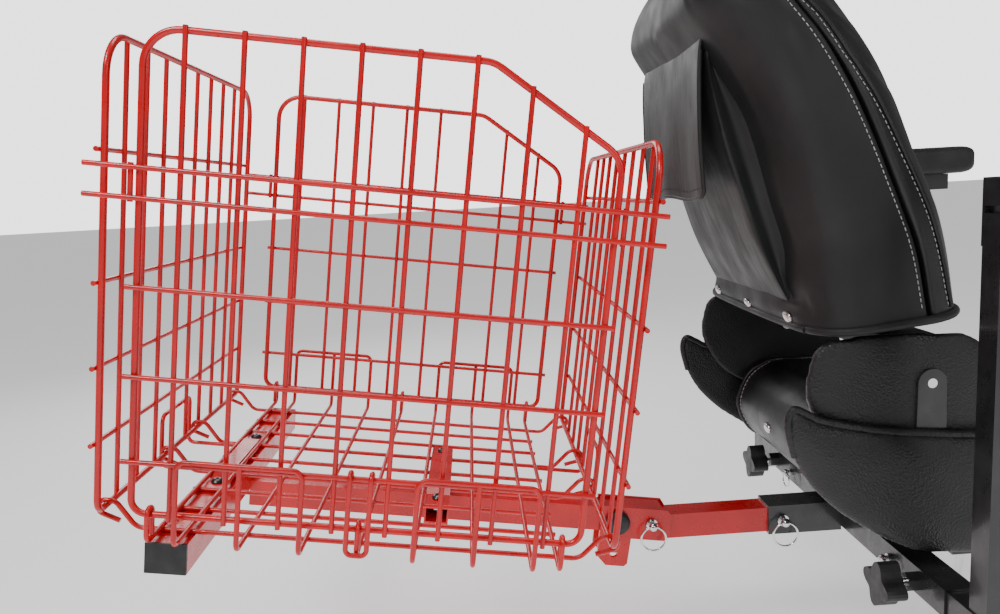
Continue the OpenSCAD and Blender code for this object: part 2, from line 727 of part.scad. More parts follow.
// The bar in the socket tube and the upright that carries the armrest, drawn at the right
module armrest_bar() {
    w = bar_w / 2;
    h = bar_h / 2;
    u = upright_w / 2;
    top = armrest_hinge_z - arm_h / 2 - 6.5;
    ear_in = arm_w / 2 + ear_gap;
    ear_out = ear_in + ear_t;
    difference() {
        union() {
            block([socket_x - w, -armrest_y - u, socket_z - h], [socket_x + w, -bar_inner_y, socket_z + h]);
            block([socket_x - u, -armrest_y - u, socket_z - h], [socket_x + u, -armrest_y + u, top]);
            for (y = [-armrest_y - ear_out, -armrest_y + ear_in])
                block([socket_x - u, y, top - 30], [socket_x + u, y + ear_t, armrest_hinge_z + 13]);
            block([socket_x - u, -armrest_y - ear_out, top - 30],
                [socket_x + u, -armrest_y + ear_out, top - 6]);
        }
        along_y(-armrest_y - ear_out - 1, -armrest_y + ear_out + 1, socket_x, armrest_hinge_z,
            arm_bolt_d + 2 * hole_gap);
    }
}

module armrest_bar_right() color([0.03, 0.03, 0.033]) armrest_bar();

module armrest_bar_left() color([0.03, 0.03, 0.033]) mirror([0, 1, 0]) armrest_bar();

module armrest_arm() difference() {
    w = arm_w / 2;
    h = arm_h / 2;
    block([socket_x - 13, -armrest_y - w, armrest_hinge_z - h],
        [socket_x + pad_start + pad_len - 40, -armrest_y + w, armrest_hinge_z + h]);
    block([socket_x + 12, -armrest_y - w + 2, armrest_hinge_z - h + 2],
        [socket_x + pad_start + pad_len - 42, -armrest_y + w - 2, armrest_hinge_z + h - 2]);
    along_y(-armrest_y - w - 1, -armrest_y + w + 1, socket_x, armrest_hinge_z,
        arm_bolt_d + 2 * run_gap);
}

module armrest_arm_right() color([0.03, 0.03, 0.033]) armrest_arm();

module armrest_arm_left() color([0.03, 0.03, 0.033]) mirror([0, 1, 0]) armrest_arm();

module armrest_pad() {
    z = armrest_hinge_z + arm_h / 2 + 0.1;
    translate([socket_x + pad_start, -armrest_y, z]) intersection() {
        translate([0, pad_w / 2, 0]) rotate([90, 0, 0]) linear_extrude(pad_w)
            polygon([[0, 6], [6, 0], [pad_len - 14, 0], [pad_len, 10], [pad_len, pad_t - 14],
                [pad_len - 12, pad_t - 3], [pad_len - 34, pad_t], [16, pad_t], [0, pad_t - 14]]);
        rotate([90, 0, 90]) linear_extrude(pad_len)
            polygon([[-pad_w / 2 + 6, 0], [pad_w / 2 - 6, 0], [pad_w / 2, 10],
                [pad_w / 2, pad_t - 12], [pad_w / 2 - 8, pad_t - 2], [pad_w / 2 - 18, pad_t],
                [-pad_w / 2 + 18, pad_t], [-pad_w / 2 + 8, pad_t - 2], [-pad_w / 2, pad_t - 12],
                [-pad_w / 2, 10]]);
    }
}

module armrest_pad_right() color([0.04, 0.04, 0.045]) armrest_pad();

module armrest_pad_left() color([0.04, 0.04, 0.045]) mirror([0, 1, 0]) armrest_pad();

module armrest_bolt() {
    out = arm_w / 2 + ear_gap + ear_t;
    along_y(-armrest_y - out - 3, -armrest_y + out + 3, socket_x, armrest_hinge_z, arm_bolt_d);
    along_y(-armrest_y - out - 6, -armrest_y - out - 0.1, socket_x, armrest_hinge_z, 17);
    along_y(-armrest_y + out + 0.1, -armrest_y + out + 6, socket_x, armrest_hinge_z, 17);
}

module armrest_bolt_right() color([0.6, 0.6, 0.62]) armrest_bolt();

module armrest_bolt_left() color([0.6, 0.6, 0.62]) mirror([0, 1, 0]) armrest_bolt();

// Four-lobed clamping knob on a stud that points forward
module clamp_knob(y) translate([knob_x, y, socket_z]) rotate([0, 90, 0]) difference() {
    union() {
        linear_extrude(knob_len) polygon([for (a = [0:7.5:352.5])
            (knob_r - knob_lobe * (1 - cos(4 * a))) * [cos(a + 8), sin(a + 8)]]);
        translate([0, 0, knob_len - 1]) cylinder(h = 6, r = 9, $fn = round_fn);
    }
    translate([0, 0, 6]) cylinder(h = knob_len, d = stud_d + 2 * hole_gap, $fn = round_fn);
}

module clamp_knob_right() color([0.03, 0.03, 0.03]) clamp_knob(-knob_y);

module clamp_knob_left() color([0.03, 0.03, 0.03]) clamp_knob(knob_y);

module knob_stud(y) along_x(knob_x + 6.2, socket_x - bar_w / 2 - 0.35, y, socket_z, stud_d);

module knob_stud_right() color([0.8, 0.8, 0.82]) knob_stud(-knob_y);

module knob_stud_left() color([0.8, 0.8, 0.82]) knob_stud(knob_y);

module knob_nuts() color([0.03, 0.03, 0.033])
    for (y = [-knob_y, knob_y]) {
        rear = socket_x - socket_w / 2;
        difference() {
            translate([rear - nut_h, y, socket_z]) rotate([0, 90, 0])
                cylinder(h = nut_h, d = 22, $fn = 6);
            along_x(rear - nut_h - 1, rear + 1, y, socket_z, stud_d + 2 * run_gap);
        }
    }

// Small ring pin that stops the bar at its inner end
module stop_pin(y) difference() {
    union() {
        along_x(stop_head_x, socket_x + socket_w / 2 + 6, y, socket_z, stop_d);
        along_x(socket_x - socket_w / 2 - 4, socket_x - socket_w / 2 - 0.3, y, socket_z, stop_d + 4);
        translate([stop_head_x, y, socket_z]) sphere(d = stop_head, $fn = round_fn);
    }
    along_y(y - 8, y + 8, stop_head_x, socket_z, small_ring_hole);
}

module stop_pin_right() color([0.75, 0.75, 0.77]) stop_pin(-stop_y);

module stop_pin_left() color([0.75, 0.75, 0.77]) stop_pin(stop_y);

module stop_ring(y) translate([stop_head_x, y, socket_z]) rotate([0, 0, 90])
    hanging_ring(small_ring_r, small_ring_wire);

module stop_ring_right() color([0.8, 0.8, 0.82]) stop_ring(-stop_y);

module stop_ring_left() color([0.8, 0.8, 0.82]) stop_ring(stop_y);

// Moulded seat base: a pan on the rails, with a wing up each side
module seat_base_shell() color([0.05, 0.05, 0.055]) at_pivot() {
    out = base_width / 2;
    for (side = [0, 1])
        mirror([0, side, 0]) slab(wing_profile, out - shell_t, out);
    block([290, -out + shell_t / 2, pan_z], [684, out - shell_t / 2, pan_z + pan_t]);
}

module base_cushion() color([0.06, 0.06, 0.065]) at_pivot()
    slab(cushion_profile, -cushion_half, cushion_half);

module base_snaps() color([0.75, 0.75, 0.76]) at_pivot()
    for (y = [-50, 50])
        translate([213.6, y, 86]) rotate([0, -90, 0]) cylinder(h = 3, d1 = snap_d, d2 = snap_d - 5,
            $fn = round_fn);

// Plates that carry the back's hinge bolts, just inside the wings
module hinge_brackets() color([0.04, 0.04, 0.045]) at_pivot()
    for (side = [0, 1])
        mirror([0, side, 0]) difference() {
            in = cheek_in + cheek_t + bracket_gap;
            union() {
                slab([[hinge_x - 18, pan_z + pan_t], [hinge_x + 18, pan_z + pan_t],
                        [hinge_x + 15, hinge_z], [hinge_x - 15, hinge_z]], in, in + bracket_t);
                along_y(in, in + bracket_t, hinge_x, hinge_z, 30);
            }
            along_y(in - 1, in + bracket_t + 1, hinge_x, hinge_z, hinge_bolt_d + 2 * run_gap);
        }

module back_hinge_bolts() color([0.6, 0.6, 0.62]) at_pivot()
    for (side = [0, 1])
        mirror([0, side, 0]) {
            in = cheek_in + cheek_t + bracket_gap;
            along_y(cheek_in - 4, in + bracket_t, hinge_x, hinge_z, hinge_bolt_d);
            along_y(cheek_in - 6, cheek_in - 0.1, hinge_x, hinge_z, 17);
        }

// Board inside the back, with a moulded cheek down each side to the hinge
module back_shell() color([0.05, 0.05, 0.055]) at_pivot() {
    line = seam_line;
    board = concat(line, reversed(shift_x(line, board_t)));
    difference() {
        union() {
            intersection() {
                slab(board, -back_width / 2 + 6, back_width / 2 - 6);
                back_outline(6);
            }
            for (side = [0, 1])
                mirror([0, side, 0]) difference() {
                    slab(cheek_profile, cheek_in, cheek_in + cheek_t);
                    slab(concat(shift_x(line, board_t), reversed(front_line)), cheek_in - 1,
                        cheek_in + cheek_t + 1);
                }
            block([line[0].x - 30, -cheek_in - 1, 232], [line[0].x + board_t, cheek_in + 1, 252]);
            block([line[0].x, -cheek_in - 1, 251], [line[0].x + board_t, cheek_in + 1, 256]);
        }
        along_y(-base_width, base_width, hinge_x, hinge_z, hinge_bolt_d + 2 * hole_gap);
    }
}

// Front view of the back: straight sides under round shoulders
module back_outline(inset) {
    w = back_width / 2 - inset;
    top = back_top - inset;
    r = shoulder_r - inset;
    rotate([90, 0, 90]) linear_extrude(600) union() {
        translate([-w, 0]) square([2 * w, top - r]);
        translate([-w + r, 0]) square([2 * (w - r), top]);
        for (y = [-w + r, w - r]) translate([y, top - r]) circle(r = r, $fn = 64);
    }
}

module back_cushion() color([0.06, 0.06, 0.065]) at_pivot() intersection() {
    slab(concat(shift_x(seam_line, board_t + skin_gap), reversed(front_line)),
        -back_width / 2, back_width / 2);
    back_outline(0);
}

module back_cover() color([0.05, 0.05, 0.055]) at_pivot() intersection() {
    slab(concat(rear_line, reversed(shift_x(seam_line, -skin_gap))),
        -back_width / 2, back_width / 2);
    back_outline(0);
}

module back_pocket() color([0.04, 0.04, 0.045]) at_pivot()
    slab(concat([for (p = rear_line) if (p[1] > 287 && p[1] < 570) p + [-0.6, 0]],
        reversed(pocket_line)), -pocket_width / 2, pocket_width / 2);

module pocket_flap() color([0.05, 0.05, 0.055]) at_pivot()
    slab(concat(flap_line, reversed(shift_x(flap_line, 4))), -pocket_width / 2 - 4,
        pocket_width / 2 + 4);

module cover_snaps() color([0.78, 0.78, 0.79]) at_pivot()
    for (y = [-120, 0, 120])
        translate([186, y, 271]) rotate([0, -90, 0]) cylinder(h = 3.4, d1 = snap_d, d2 = snap_d - 5,
            $fn = round_fn);

basket_floor();
basket_right_wall();
basket_left_wall();
basket_rear_wall();
basket_front_wall();
wall_keeper_loop();
basket_main_tube();
basket_cross_tube();
front_cross_bar();
cross_tube_caps();
rear_clamp_strap();
front_clamp_strap();
clamp_bolts();
clamp_nuts();
hitch_arm();
pivot_bolt();
pivot_nut();
pivot_caps();
hitch_lock_pin();
hitch_lock_ring();
receiver_tube();
receiver_pin();
receiver_pin_ring();
armrest_socket_tube();
seat_frame();
swivel_plate();
swivel_bearing();
seat_post();
swivel_lever();
swivel_lever_grip();
armrest_bar_right();
armrest_bar_left();
armrest_arm_right();
armrest_arm_left();
armrest_pad_right();
armrest_pad_left();
armrest_bolt_right();
armrest_bolt_left();
clamp_knob_right();
clamp_knob_left();
knob_stud_right();
knob_stud_left();
knob_nuts();
stop_pin_right();
stop_pin_left();
stop_ring_right();
stop_ring_left();
seat_base_shell();
base_cushion();
base_snaps();
hinge_brackets();
back_hinge_bolts();
back_shell();
back_cushion();
back_cover();
back_pocket();
pocket_flap();
cover_snaps();
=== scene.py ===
# %% [markdown]
# # A scooter seat with a folding wire basket
# The metal and plastic parts come from a fixed frame that was designed elsewhere, and this lesson
# dresses them: it sews the cushions, moulds the shells, mixes the finishes and lights the result.
# Everything is in metres, +X is the way the rider faces, +Y is the rider's left and +Z is up.

import json
import math

import bmesh
import bpy
from mathutils import Matrix, Vector, noise
from mathutils.bvhtree import BVHTree
from mathutils.kdtree import KDTree


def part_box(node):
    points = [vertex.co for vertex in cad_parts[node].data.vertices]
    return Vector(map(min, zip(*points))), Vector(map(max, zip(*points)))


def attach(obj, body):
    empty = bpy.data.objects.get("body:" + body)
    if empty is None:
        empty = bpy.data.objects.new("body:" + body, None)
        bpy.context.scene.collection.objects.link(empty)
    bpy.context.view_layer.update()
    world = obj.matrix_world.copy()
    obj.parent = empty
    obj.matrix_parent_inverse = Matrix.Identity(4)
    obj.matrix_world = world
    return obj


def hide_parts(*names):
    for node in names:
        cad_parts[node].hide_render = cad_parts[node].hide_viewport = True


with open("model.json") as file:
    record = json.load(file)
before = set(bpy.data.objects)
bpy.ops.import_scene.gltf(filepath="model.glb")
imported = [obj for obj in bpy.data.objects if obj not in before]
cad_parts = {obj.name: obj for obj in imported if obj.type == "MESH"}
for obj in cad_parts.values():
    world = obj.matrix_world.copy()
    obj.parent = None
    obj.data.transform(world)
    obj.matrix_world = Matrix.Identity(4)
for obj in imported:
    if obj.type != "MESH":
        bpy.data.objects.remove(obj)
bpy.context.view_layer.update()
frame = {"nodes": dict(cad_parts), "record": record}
nodes = frame["nodes"]

# %% [markdown]
# ## Where things are
# The hitch pivot is the natural place to measure a seat and its basket from, because both were set
# out from it. `at` turns millimetres from that pivot into a point in the frame.

# %% Measure from the hitch pivot
MM = 0.001
pivot_low, pivot_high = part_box("pivot_bolt")
PIVOT = Vector(((pivot_low.x + pivot_high.x) / 2, 0, (pivot_low.z + pivot_high.z) / 2))


def at(forward, left, up):
    """A point in the frame, from millimetres measured at the hitch pivot."""
    return PIVOT + Vector((forward, left, up)) * MM


print("pivot", tuple(round(x, 4) for x in PIVOT))

# %% [markdown]
# ## Camera first
# The view is from the rider's right and a little behind, slightly above the basket, looking a few
# degrees down. A moderately wide lens close to the basket gives it the strong perspective that it
# has in a product picture. The camera also leans a little, so the frame's level arm isn't level.

# %% Place the camera
LENS = 28.08
CAMERA_AT = Vector((-0.6522, -0.9589, 0.6556))
LOOKS_DOWN = 8.52
LOOKS_FORWARD = 1.70
LEANS = 3.21

camera_data = bpy.data.cameras.new("camera")
camera_data.lens = LENS
camera_data.sensor_width = 36
camera_data.clip_start = 0.02
camera = bpy.data.objects.new("camera", camera_data)
bpy.context.scene.collection.objects.link(camera)
camera.matrix_world = (
    Matrix.Translation(CAMERA_AT)
    @ Matrix.Rotation(math.radians(-LOOKS_FORWARD), 4, "Z")
    @ Matrix.Rotation(math.radians(90 - LOOKS_DOWN), 4, "X")
    @ Matrix.Rotation(math.radians(-LEANS), 4, "Z")
)
bpy.context.scene.camera = camera
print("lens", LENS, "mm")

# %% [markdown]
# ## Shaping tools
# Most soft and moulded pieces here are skins: a grid whose rows are laid on cuts through the piece.
# A grid keeps its seams exactly on a row or a column, which a remeshed form can't do.

# %% Small helpers for picking and finishing meshes
def pick(obj):
    """Selects only this object and makes it active."""
    bpy.ops.object.select_all(action="DESELECT")
    obj.select_set(True)
    bpy.context.view_layer.objects.active = obj


def in_edit_mode(obj, *steps):
    """Runs each step on the whole mesh in edit mode."""
    pick(obj)
    bpy.ops.object.mode_set(mode="EDIT")
    for step in steps:
        bpy.ops.mesh.select_all(action="SELECT")
        step()
    bpy.ops.object.mode_set(mode="OBJECT")


def apply_modifier(obj, kind, **settings):
    """Adds a modifier, sets it and applies it."""
    pick(obj)
    modifier = obj.modifiers.new(kind.lower(), kind)
    for name, value in settings.items():
        setattr(modifier, name, value)
    bpy.ops.object.modifier_apply(modifier=modifier.name)


def smooth(obj, angle=40):
    """Smooth shading that keeps edges sharper than the angle."""
    pick(obj)
    bpy.ops.object.shade_smooth_by_angle(angle=math.radians(angle))


def merge_and_close(obj):
    """Merges doubled points, fills what is open and points the faces outwards."""
    in_edit_mode(
        obj,
        lambda: bpy.ops.mesh.remove_doubles(threshold=0.00002),
        lambda: bpy.ops.mesh.fill_holes(sides=0),
        lambda: bpy.ops.mesh.normals_make_consistent(inside=False),
    )


def join(name, *objects):
    """Joins objects into the first one and names it."""
    pick(objects[0])
    for obj in objects[1:]:
        obj.select_set(True)
    if len(objects) > 1:
        bpy.ops.object.join()
    objects[0].name = objects[0].data.name = name
    return objects[0]


# %% Lines that are smooth and evenly spaced
def evenly(points, shares):
    """Points at the given shares of a line's length."""
    lengths = [0.0]
    for a, b in zip(points, points[1:]):
        lengths.append(lengths[-1] + (b - a).length)
    found, j = [], 0
    for share in shares:
        want = lengths[-1] * share
        while j < len(points) - 2 and lengths[j + 1] < want:
            j += 1
        span = lengths[j + 1] - lengths[j]
        along = (want - lengths[j]) / span if span > 0 else 0
        found.append(points[j].lerp(points[j + 1], min(max(along, 0), 1)))
    return found


def shares(count):
    """Even shares from 0 to 1."""
    return [i / (count - 1) for i in range(count)]


def curve_through(points, steps=12, closed=False):
    """Close points on a smooth curve through the given ones."""
    given = [Vector(p) for p in points]
    n = len(given)
    found = []
    for i in range(n if closed else n - 1):
        a, b = given[i], given[(i + 1) % n]
        before = given[i - 1] if closed or i else 2 * a - b
        after = given[(i + 2) % n] if closed or i + 2 < n else 2 * b - a
        for k in range(steps):
            t = k / steps
            found.append(0.5 * (2 * a + (b - before) * t + (2 * before - 5 * a + 4 * b - after) * t * t
                                + (3 * a - before - 3 * b + after) * t ** 3))
    if not closed:
        found.append(given[-1])
    return found


# %% A skin over rows of points
def skin(name, rows, around=False):
    """A grid laid on rows of points. With around, each row's last point meets its first."""
    if around:
        rows = [row + [row[0]] for row in rows]
    columns = len(rows[0])
    bpy.ops.object.select_all(action="DESELECT")
    bpy.ops.mesh.primitive_grid_add(x_subdivisions=columns - 1, y_subdivisions=len(rows) - 1, size=1)
    obj = bpy.context.object
    obj.name = obj.data.name = name
    for i, vertex in enumerate(obj.data.vertices):
        vertex.co = rows[i // columns][i % columns]
    obj.data.update()
    return obj


def lathe(name, outline, where, axis, steps=32):
    """An outline of (radius, height) in millimetres, turned about an axis through a point."""
    turn = Vector((0, 0, 1)).rotation_difference(Vector(axis)).to_matrix()
    rows = []
    for radius, height in outline:
        ring = [Vector((radius * math.cos(a), radius * math.sin(a), height)) * MM
                for a in (2 * math.pi * i / steps for i in range(steps))]
        rows.append([where + turn @ p for p in ring])
    obj = skin(name, rows, around=True)
    merge_and_close(obj)
    smooth(obj, 35)
    return obj


# %% A tube along a line, and a row of stitches
def tube(name, points, radius, closed=False, sides=3):
    """A round cord of the given radius along points, as a mesh."""
    data = bpy.data.curves.new(name, "CURVE")
    data.dimensions = "3D"
    data.bevel_depth = radius
    data.bevel_resolution = sides
    data.use_fill_caps = True
    spline = data.splines.new("POLY")
    spline.points.add(len(points) - 1)
    for spot, p in zip(spline.points, points):
        spot.co = (*p, 1)
    spline.use_cyclic_u = closed
    obj = bpy.data.objects.new(name, data)
    bpy.context.scene.collection.objects.link(obj)
    pick(obj)
    bpy.ops.object.convert(target="MESH")
    obj = bpy.context.object
    merge_and_close(obj)
    smooth(obj, 60)
    return obj


def stitches(name, points, pitch=0.0046, length=0.0032, radius=0.00042):
    """Short threads in a row along points that lie on a surface."""
    bpy.ops.object.select_all(action="DESELECT")
    bpy.ops.mesh.primitive_cylinder_add(vertices=6, radius=radius, depth=length)
    thread = bpy.context.object
    in_edit_mode(thread, lambda: bpy.ops.mesh.bevel(offset=radius * 0.6, segments=1))
    total = sum((b - a).length for a, b in zip(points, points[1:]))
    count = max(2, int(total / pitch))
    spots = evenly(points, [(i + 0.5) / count for i in range(count)])
    ahead = evenly(points, [min(1, (i + 0.8) / count) for i in range(count)])
    row = bmesh.new()
    for spot, towards in zip(spots, ahead):
        before = len(row.verts)
        row.from_mesh(thread.data)
        row.verts.ensure_lookup_table()
        turn = Vector((0, 0, 1)).rotation_difference((towards - spot).normalized()).to_matrix().to_4x4()
        bmesh.ops.transform(row, matrix=Matrix.Translation(spot) @ turn, verts=row.verts[before:])
    row.to_mesh(thread.data)
    row.free()
    thread.name = thread.data.name = name
    return thread


def on_surface(obj, points, lift=0.0):
    """Each point moved to the nearest place on an object's skin, and lifted off it."""
    tree = BVHTree.FromPolygons([v.co for v in obj.data.vertices],
                                [tuple(p.vertices) for p in obj.data.polygons])
    found = []
    for p in points:
        place, normal, _, _ = tree.find_nearest(p)
        found.append(place + normal * lift)
    return found


# %% [markdown]
# ## Stuffing a cushion
# A sewn cushion is tight at its seams and swells between them. The cloth solver does just that: the
# seam points are pinned, a little pressure pushes the rest out, and gravity is off. A soft limit then
# keeps every point within a few millimetres of the sewing pattern, so the piece keeps its size.

# %% Inflate a sewn form
def soften(obj, rest, most):
    """Limits how far each point has moved from rest, without a hard edge."""
    for vertex, start in zip(obj.data.vertices, rest):
        move = vertex.co - start
        if move.length > 1e-7:
            vertex.co = start + move.normalized() * most * math.tanh(move.length / most)


def stuff(obj, pinned, pressure, most):
    """Blows the form up gently while its pinned points stay."""
    rest = [v.co.copy() for v in obj.data.vertices]
    pick(obj)
    obj.vertex_groups.new(name="pinned").add(pinned, 1.0, "REPLACE")
    cloth = obj.modifiers.new("cloth", "CLOTH")
    cloth.settings.vertex_group_mass = "pinned"
    cloth.settings.use_pressure = True
    cloth.settings.uniform_pressure_force = pressure
    cloth.settings.effector_weights.gravity = 0
    cloth.settings.mass = 0.3
    for step in range(1, 21):
        bpy.context.scene.frame_set(step)
    bpy.ops.object.modifier_apply(modifier=cloth.name)
    obj.vertex_groups.clear()
    bpy.context.scene.frame_set(1)
    soften(obj, rest, most)
    moved = max((v.co - start).length for v, start in zip(obj.data.vertices, rest))
    print(obj.name, "swells by", round(moved * 1000, 1), "mm")


def wrinkle(obj, stretch, amount, seed=0.0):
    """Low creases: the skin moves in and out by a noise that is stretched along one way."""
    outwards = [vertex.normal.copy() for vertex in obj.data.vertices]
    for vertex, normal in zip(obj.data.vertices, outwards):
        p = vertex.co
        stretched = Vector((p.x * stretch[0], p.y * stretch[1], p.z * stretch[2]))
        spot = stretched + Vector((seed, seed, seed))
        vertex.co = p + normal * noise.noise(spot) * amount

# %% [markdown]
# ## Mixing finishes
# Every finish is a Principled shader with a little life in it: a noise that varies its colour and
# gloss, and one or two layers of bump for the grain. The patterns read Object coordinates, so they
# keep their real size on every piece and stay put when the joints move.

# %% Building blocks of a finish
def finish_base(name, colour, gloss, metal=0.0, coat=0.0, coat_gloss=0.1, sheen=0.0):
    """A Principled material. Gloss is its roughness."""
    material = bpy.data.materials.new(name)
    material.use_nodes = True
    shader = material.node_tree.nodes["Principled BSDF"]
    shader.inputs["Base Color"].default_value = (*colour, 1)
    shader.inputs["Roughness"].default_value = gloss
    shader.inputs["Metallic"].default_value = metal
    shader.inputs["Coat Weight"].default_value = coat
    shader.inputs["Coat Roughness"].default_value = coat_gloss
    shader.inputs["Sheen Weight"].default_value = sheen
    return material


def pattern(material, kind, scale, stretch=(1, 1, 1), output=0, **inputs):
    """A noise or cell pattern on the piece's own coordinates."""
    tree = material.node_tree
    place = tree.nodes.new("ShaderNodeTexCoord")
    mapping = tree.nodes.new("ShaderNodeMapping")
    mapping.inputs["Scale"].default_value = stretch
    texture = tree.nodes.new(kind)
    texture.inputs["Scale"].default_value = scale
    for name, value in inputs.items():
        texture.inputs[name].default_value = value
    tree.links.new(place.outputs["Object"], mapping.inputs["Vector"])
    tree.links.new(mapping.outputs["Vector"], texture.inputs["Vector"])
    return texture.outputs[output]


def vary_gloss(material, source, low, high):
    """The pattern moves the roughness between two values."""
    tree = material.node_tree
    span = tree.nodes.new("ShaderNodeMapRange")
    span.inputs["From Min"].default_value = 0.35
    span.inputs["From Max"].default_value = 0.65
    span.inputs["To Min"].default_value = low
    span.inputs["To Max"].default_value = high
    tree.links.new(source, span.inputs["Value"])
    tree.links.new(span.outputs["Result"], tree.nodes["Principled BSDF"].inputs["Roughness"])


def vary_colour(material, source, dark, pale):
    """The pattern moves the colour between two near ones."""
    tree = material.node_tree
    ramp = tree.nodes.new("ShaderNodeValToRGB")
    ramp.color_ramp.elements[0].position = 0.35
    ramp.color_ramp.elements[0].color = (*dark, 1)
    ramp.color_ramp.elements[1].position = 0.65
    ramp.color_ramp.elements[1].color = (*pale, 1)
    tree.links.new(source, ramp.inputs["Fac"])
    tree.links.new(ramp.outputs["Color"], tree.nodes["Principled BSDF"].inputs["Base Color"])


def emboss(material, source, depth, strength=1.0):
    """The pattern raises the surface, on top of any relief that is there already."""
    tree = material.node_tree
    normal = tree.nodes["Principled BSDF"].inputs["Normal"]
    bump = tree.nodes.new("ShaderNodeBump")
    bump.inputs["Distance"].default_value = depth
    bump.inputs["Strength"].default_value = strength
    if normal.is_linked:
        tree.links.new(normal.links[0].from_socket, bump.inputs["Normal"])
    tree.links.new(source, bump.inputs["Height"])
    tree.links.new(bump.outputs["Normal"], normal)


NOISE, CELLS, WAVES = "ShaderNodeTexNoise", "ShaderNodeTexVoronoi", "ShaderNodeTexWave"

# %% [markdown]
# Powder coat is sprayed dry and melts into a thick glossy skin with a faint orange peel. A clear coat
# over the red gives the sharp white highlights along each wire, and the noise underneath keeps the
# colour from looking like flat plastic.

# %% Paints
red_coat = finish_base("red_powder_coat", (0.62, 0.0, 0.003), 0.34, coat=0.3, coat_gloss=0.06)
vary_colour(red_coat, pattern(red_coat, NOISE, 14, Detail=3), (0.54, 0.0, 0.002), (0.70, 0.0, 0.004))
vary_gloss(red_coat, pattern(red_coat, NOISE, 45, Detail=4), 0.22, 0.36)
emboss(red_coat, pattern(red_coat, NOISE, 420, Detail=2), 0.00012, 0.35)

black_paint = finish_base("black_steel", (0.012, 0.012, 0.013), 0.3, coat=0.5, coat_gloss=0.12)
vary_colour(black_paint, pattern(black_paint, NOISE, 22, Detail=4),
            (0.009, 0.009, 0.010), (0.020, 0.020, 0.022))
vary_gloss(black_paint, pattern(black_paint, NOISE, 60, Detail=5), 0.24, 0.42)
emboss(black_paint, pattern(black_paint, NOISE, 500, Detail=2), 0.0001, 0.3)

# %% Bare metals
chrome = finish_base("chrome", (0.80, 0.81, 0.83), 0.08, metal=1.0)
vary_gloss(chrome, pattern(chrome, NOISE, 70, Detail=5), 0.05, 0.14)
emboss(chrome, pattern(chrome, NOISE, 160, Detail=3), 0.00005, 0.15)

zinc = finish_base("zinc_steel", (0.58, 0.59, 0.60), 0.3, metal=1.0)
vary_colour(zinc, pattern(zinc, NOISE, 90, Detail=5), (0.50, 0.51, 0.53), (0.66, 0.66, 0.66))
vary_gloss(zinc, pattern(zinc, NOISE, 300, stretch=(1, 6, 1), Detail=4), 0.22, 0.42)
emboss(zinc, pattern(zinc, NOISE, 700, stretch=(1, 5, 1), Detail=2), 0.00005, 0.25)

snap_metal = finish_base("snap_metal", (0.74, 0.73, 0.71), 0.2, metal=1.0)
vary_gloss(snap_metal, pattern(snap_metal, NOISE, 180, Detail=4), 0.14, 0.30)
emboss(snap_metal, pattern(snap_metal, NOISE, 500, Detail=3), 0.00008, 0.3)

# %% Moulded plastics and rubber
black_plastic = finish_base("black_plastic", (0.014, 0.014, 0.015), 0.45)
vary_colour(black_plastic, pattern(black_plastic, NOISE, 60, Detail=5),
            (0.010, 0.010, 0.011), (0.022, 0.022, 0.023))
vary_gloss(black_plastic, pattern(black_plastic, NOISE, 90, Detail=4), 0.36, 0.55)
emboss(black_plastic, pattern(black_plastic, NOISE, 1400, Detail=2), 0.00012, 0.5)

grip_rubber = finish_base("grip_rubber", (0.012, 0.012, 0.012), 0.8)
vary_gloss(grip_rubber, pattern(grip_rubber, NOISE, 120, Detail=4), 0.7, 0.9)
emboss(grip_rubber, pattern(grip_rubber, WAVES, 160, stretch=(0, 1, 0)), 0.0005, 0.8)

# %% [markdown]
# The shells under the seat are moulded with a leather grain, coarse pebbles with fine ones between.
# A Voronoi cell pattern gives the coarse pebbles and a fine noise the small grain between them.
# Upholstery has the same pebbles at half the size, with faint creases from handling and a softer shine.

# %% Grained shells and upholstery
shell_grain = finish_base("moulded_shell", (0.016, 0.016, 0.017), 0.42)
vary_colour(shell_grain, pattern(shell_grain, NOISE, 18, Detail=5),
            (0.006, 0.006, 0.0065), (0.011, 0.011, 0.012))
vary_gloss(shell_grain, pattern(shell_grain, NOISE, 36, Detail=4), 0.34, 0.50)
emboss(shell_grain, pattern(shell_grain, CELLS, 420, Randomness=1.0), 0.0011, 0.5)
emboss(shell_grain, pattern(shell_grain, NOISE, 900, Detail=3), 0.0004, 0.4)

leather = finish_base("seat_leather", (0.010, 0.010, 0.012), 0.42, coat=0.1, coat_gloss=0.3)
vary_colour(leather, pattern(leather, NOISE, 12, Detail=5),
            (0.004, 0.004, 0.0048), (0.008, 0.008, 0.009))
vary_gloss(leather, pattern(leather, NOISE, 30, Detail=5), 0.34, 0.48)
emboss(leather, pattern(leather, NOISE, 70, stretch=(1, 1, 0.5), Detail=5), 0.0012, 0.25)
emboss(leather, pattern(leather, CELLS, 850, Randomness=1.0), 0.0005, 0.45)

cover_cloth = finish_base("cover_cloth", (0.006, 0.006, 0.007), 0.5, sheen=0.03)
vary_colour(cover_cloth, pattern(cover_cloth, NOISE, 10, Detail=5),
            (0.0045, 0.0045, 0.005), (0.009, 0.009, 0.010))
vary_gloss(cover_cloth, pattern(cover_cloth, NOISE, 25, Detail=5), 0.46, 0.62)
emboss(cover_cloth, pattern(cover_cloth, NOISE, 40, stretch=(1, 1, 0.35), Detail=5), 0.0018, 0.3)
emboss(cover_cloth, pattern(cover_cloth, NOISE, 1500, Detail=2), 0.0002, 0.4)

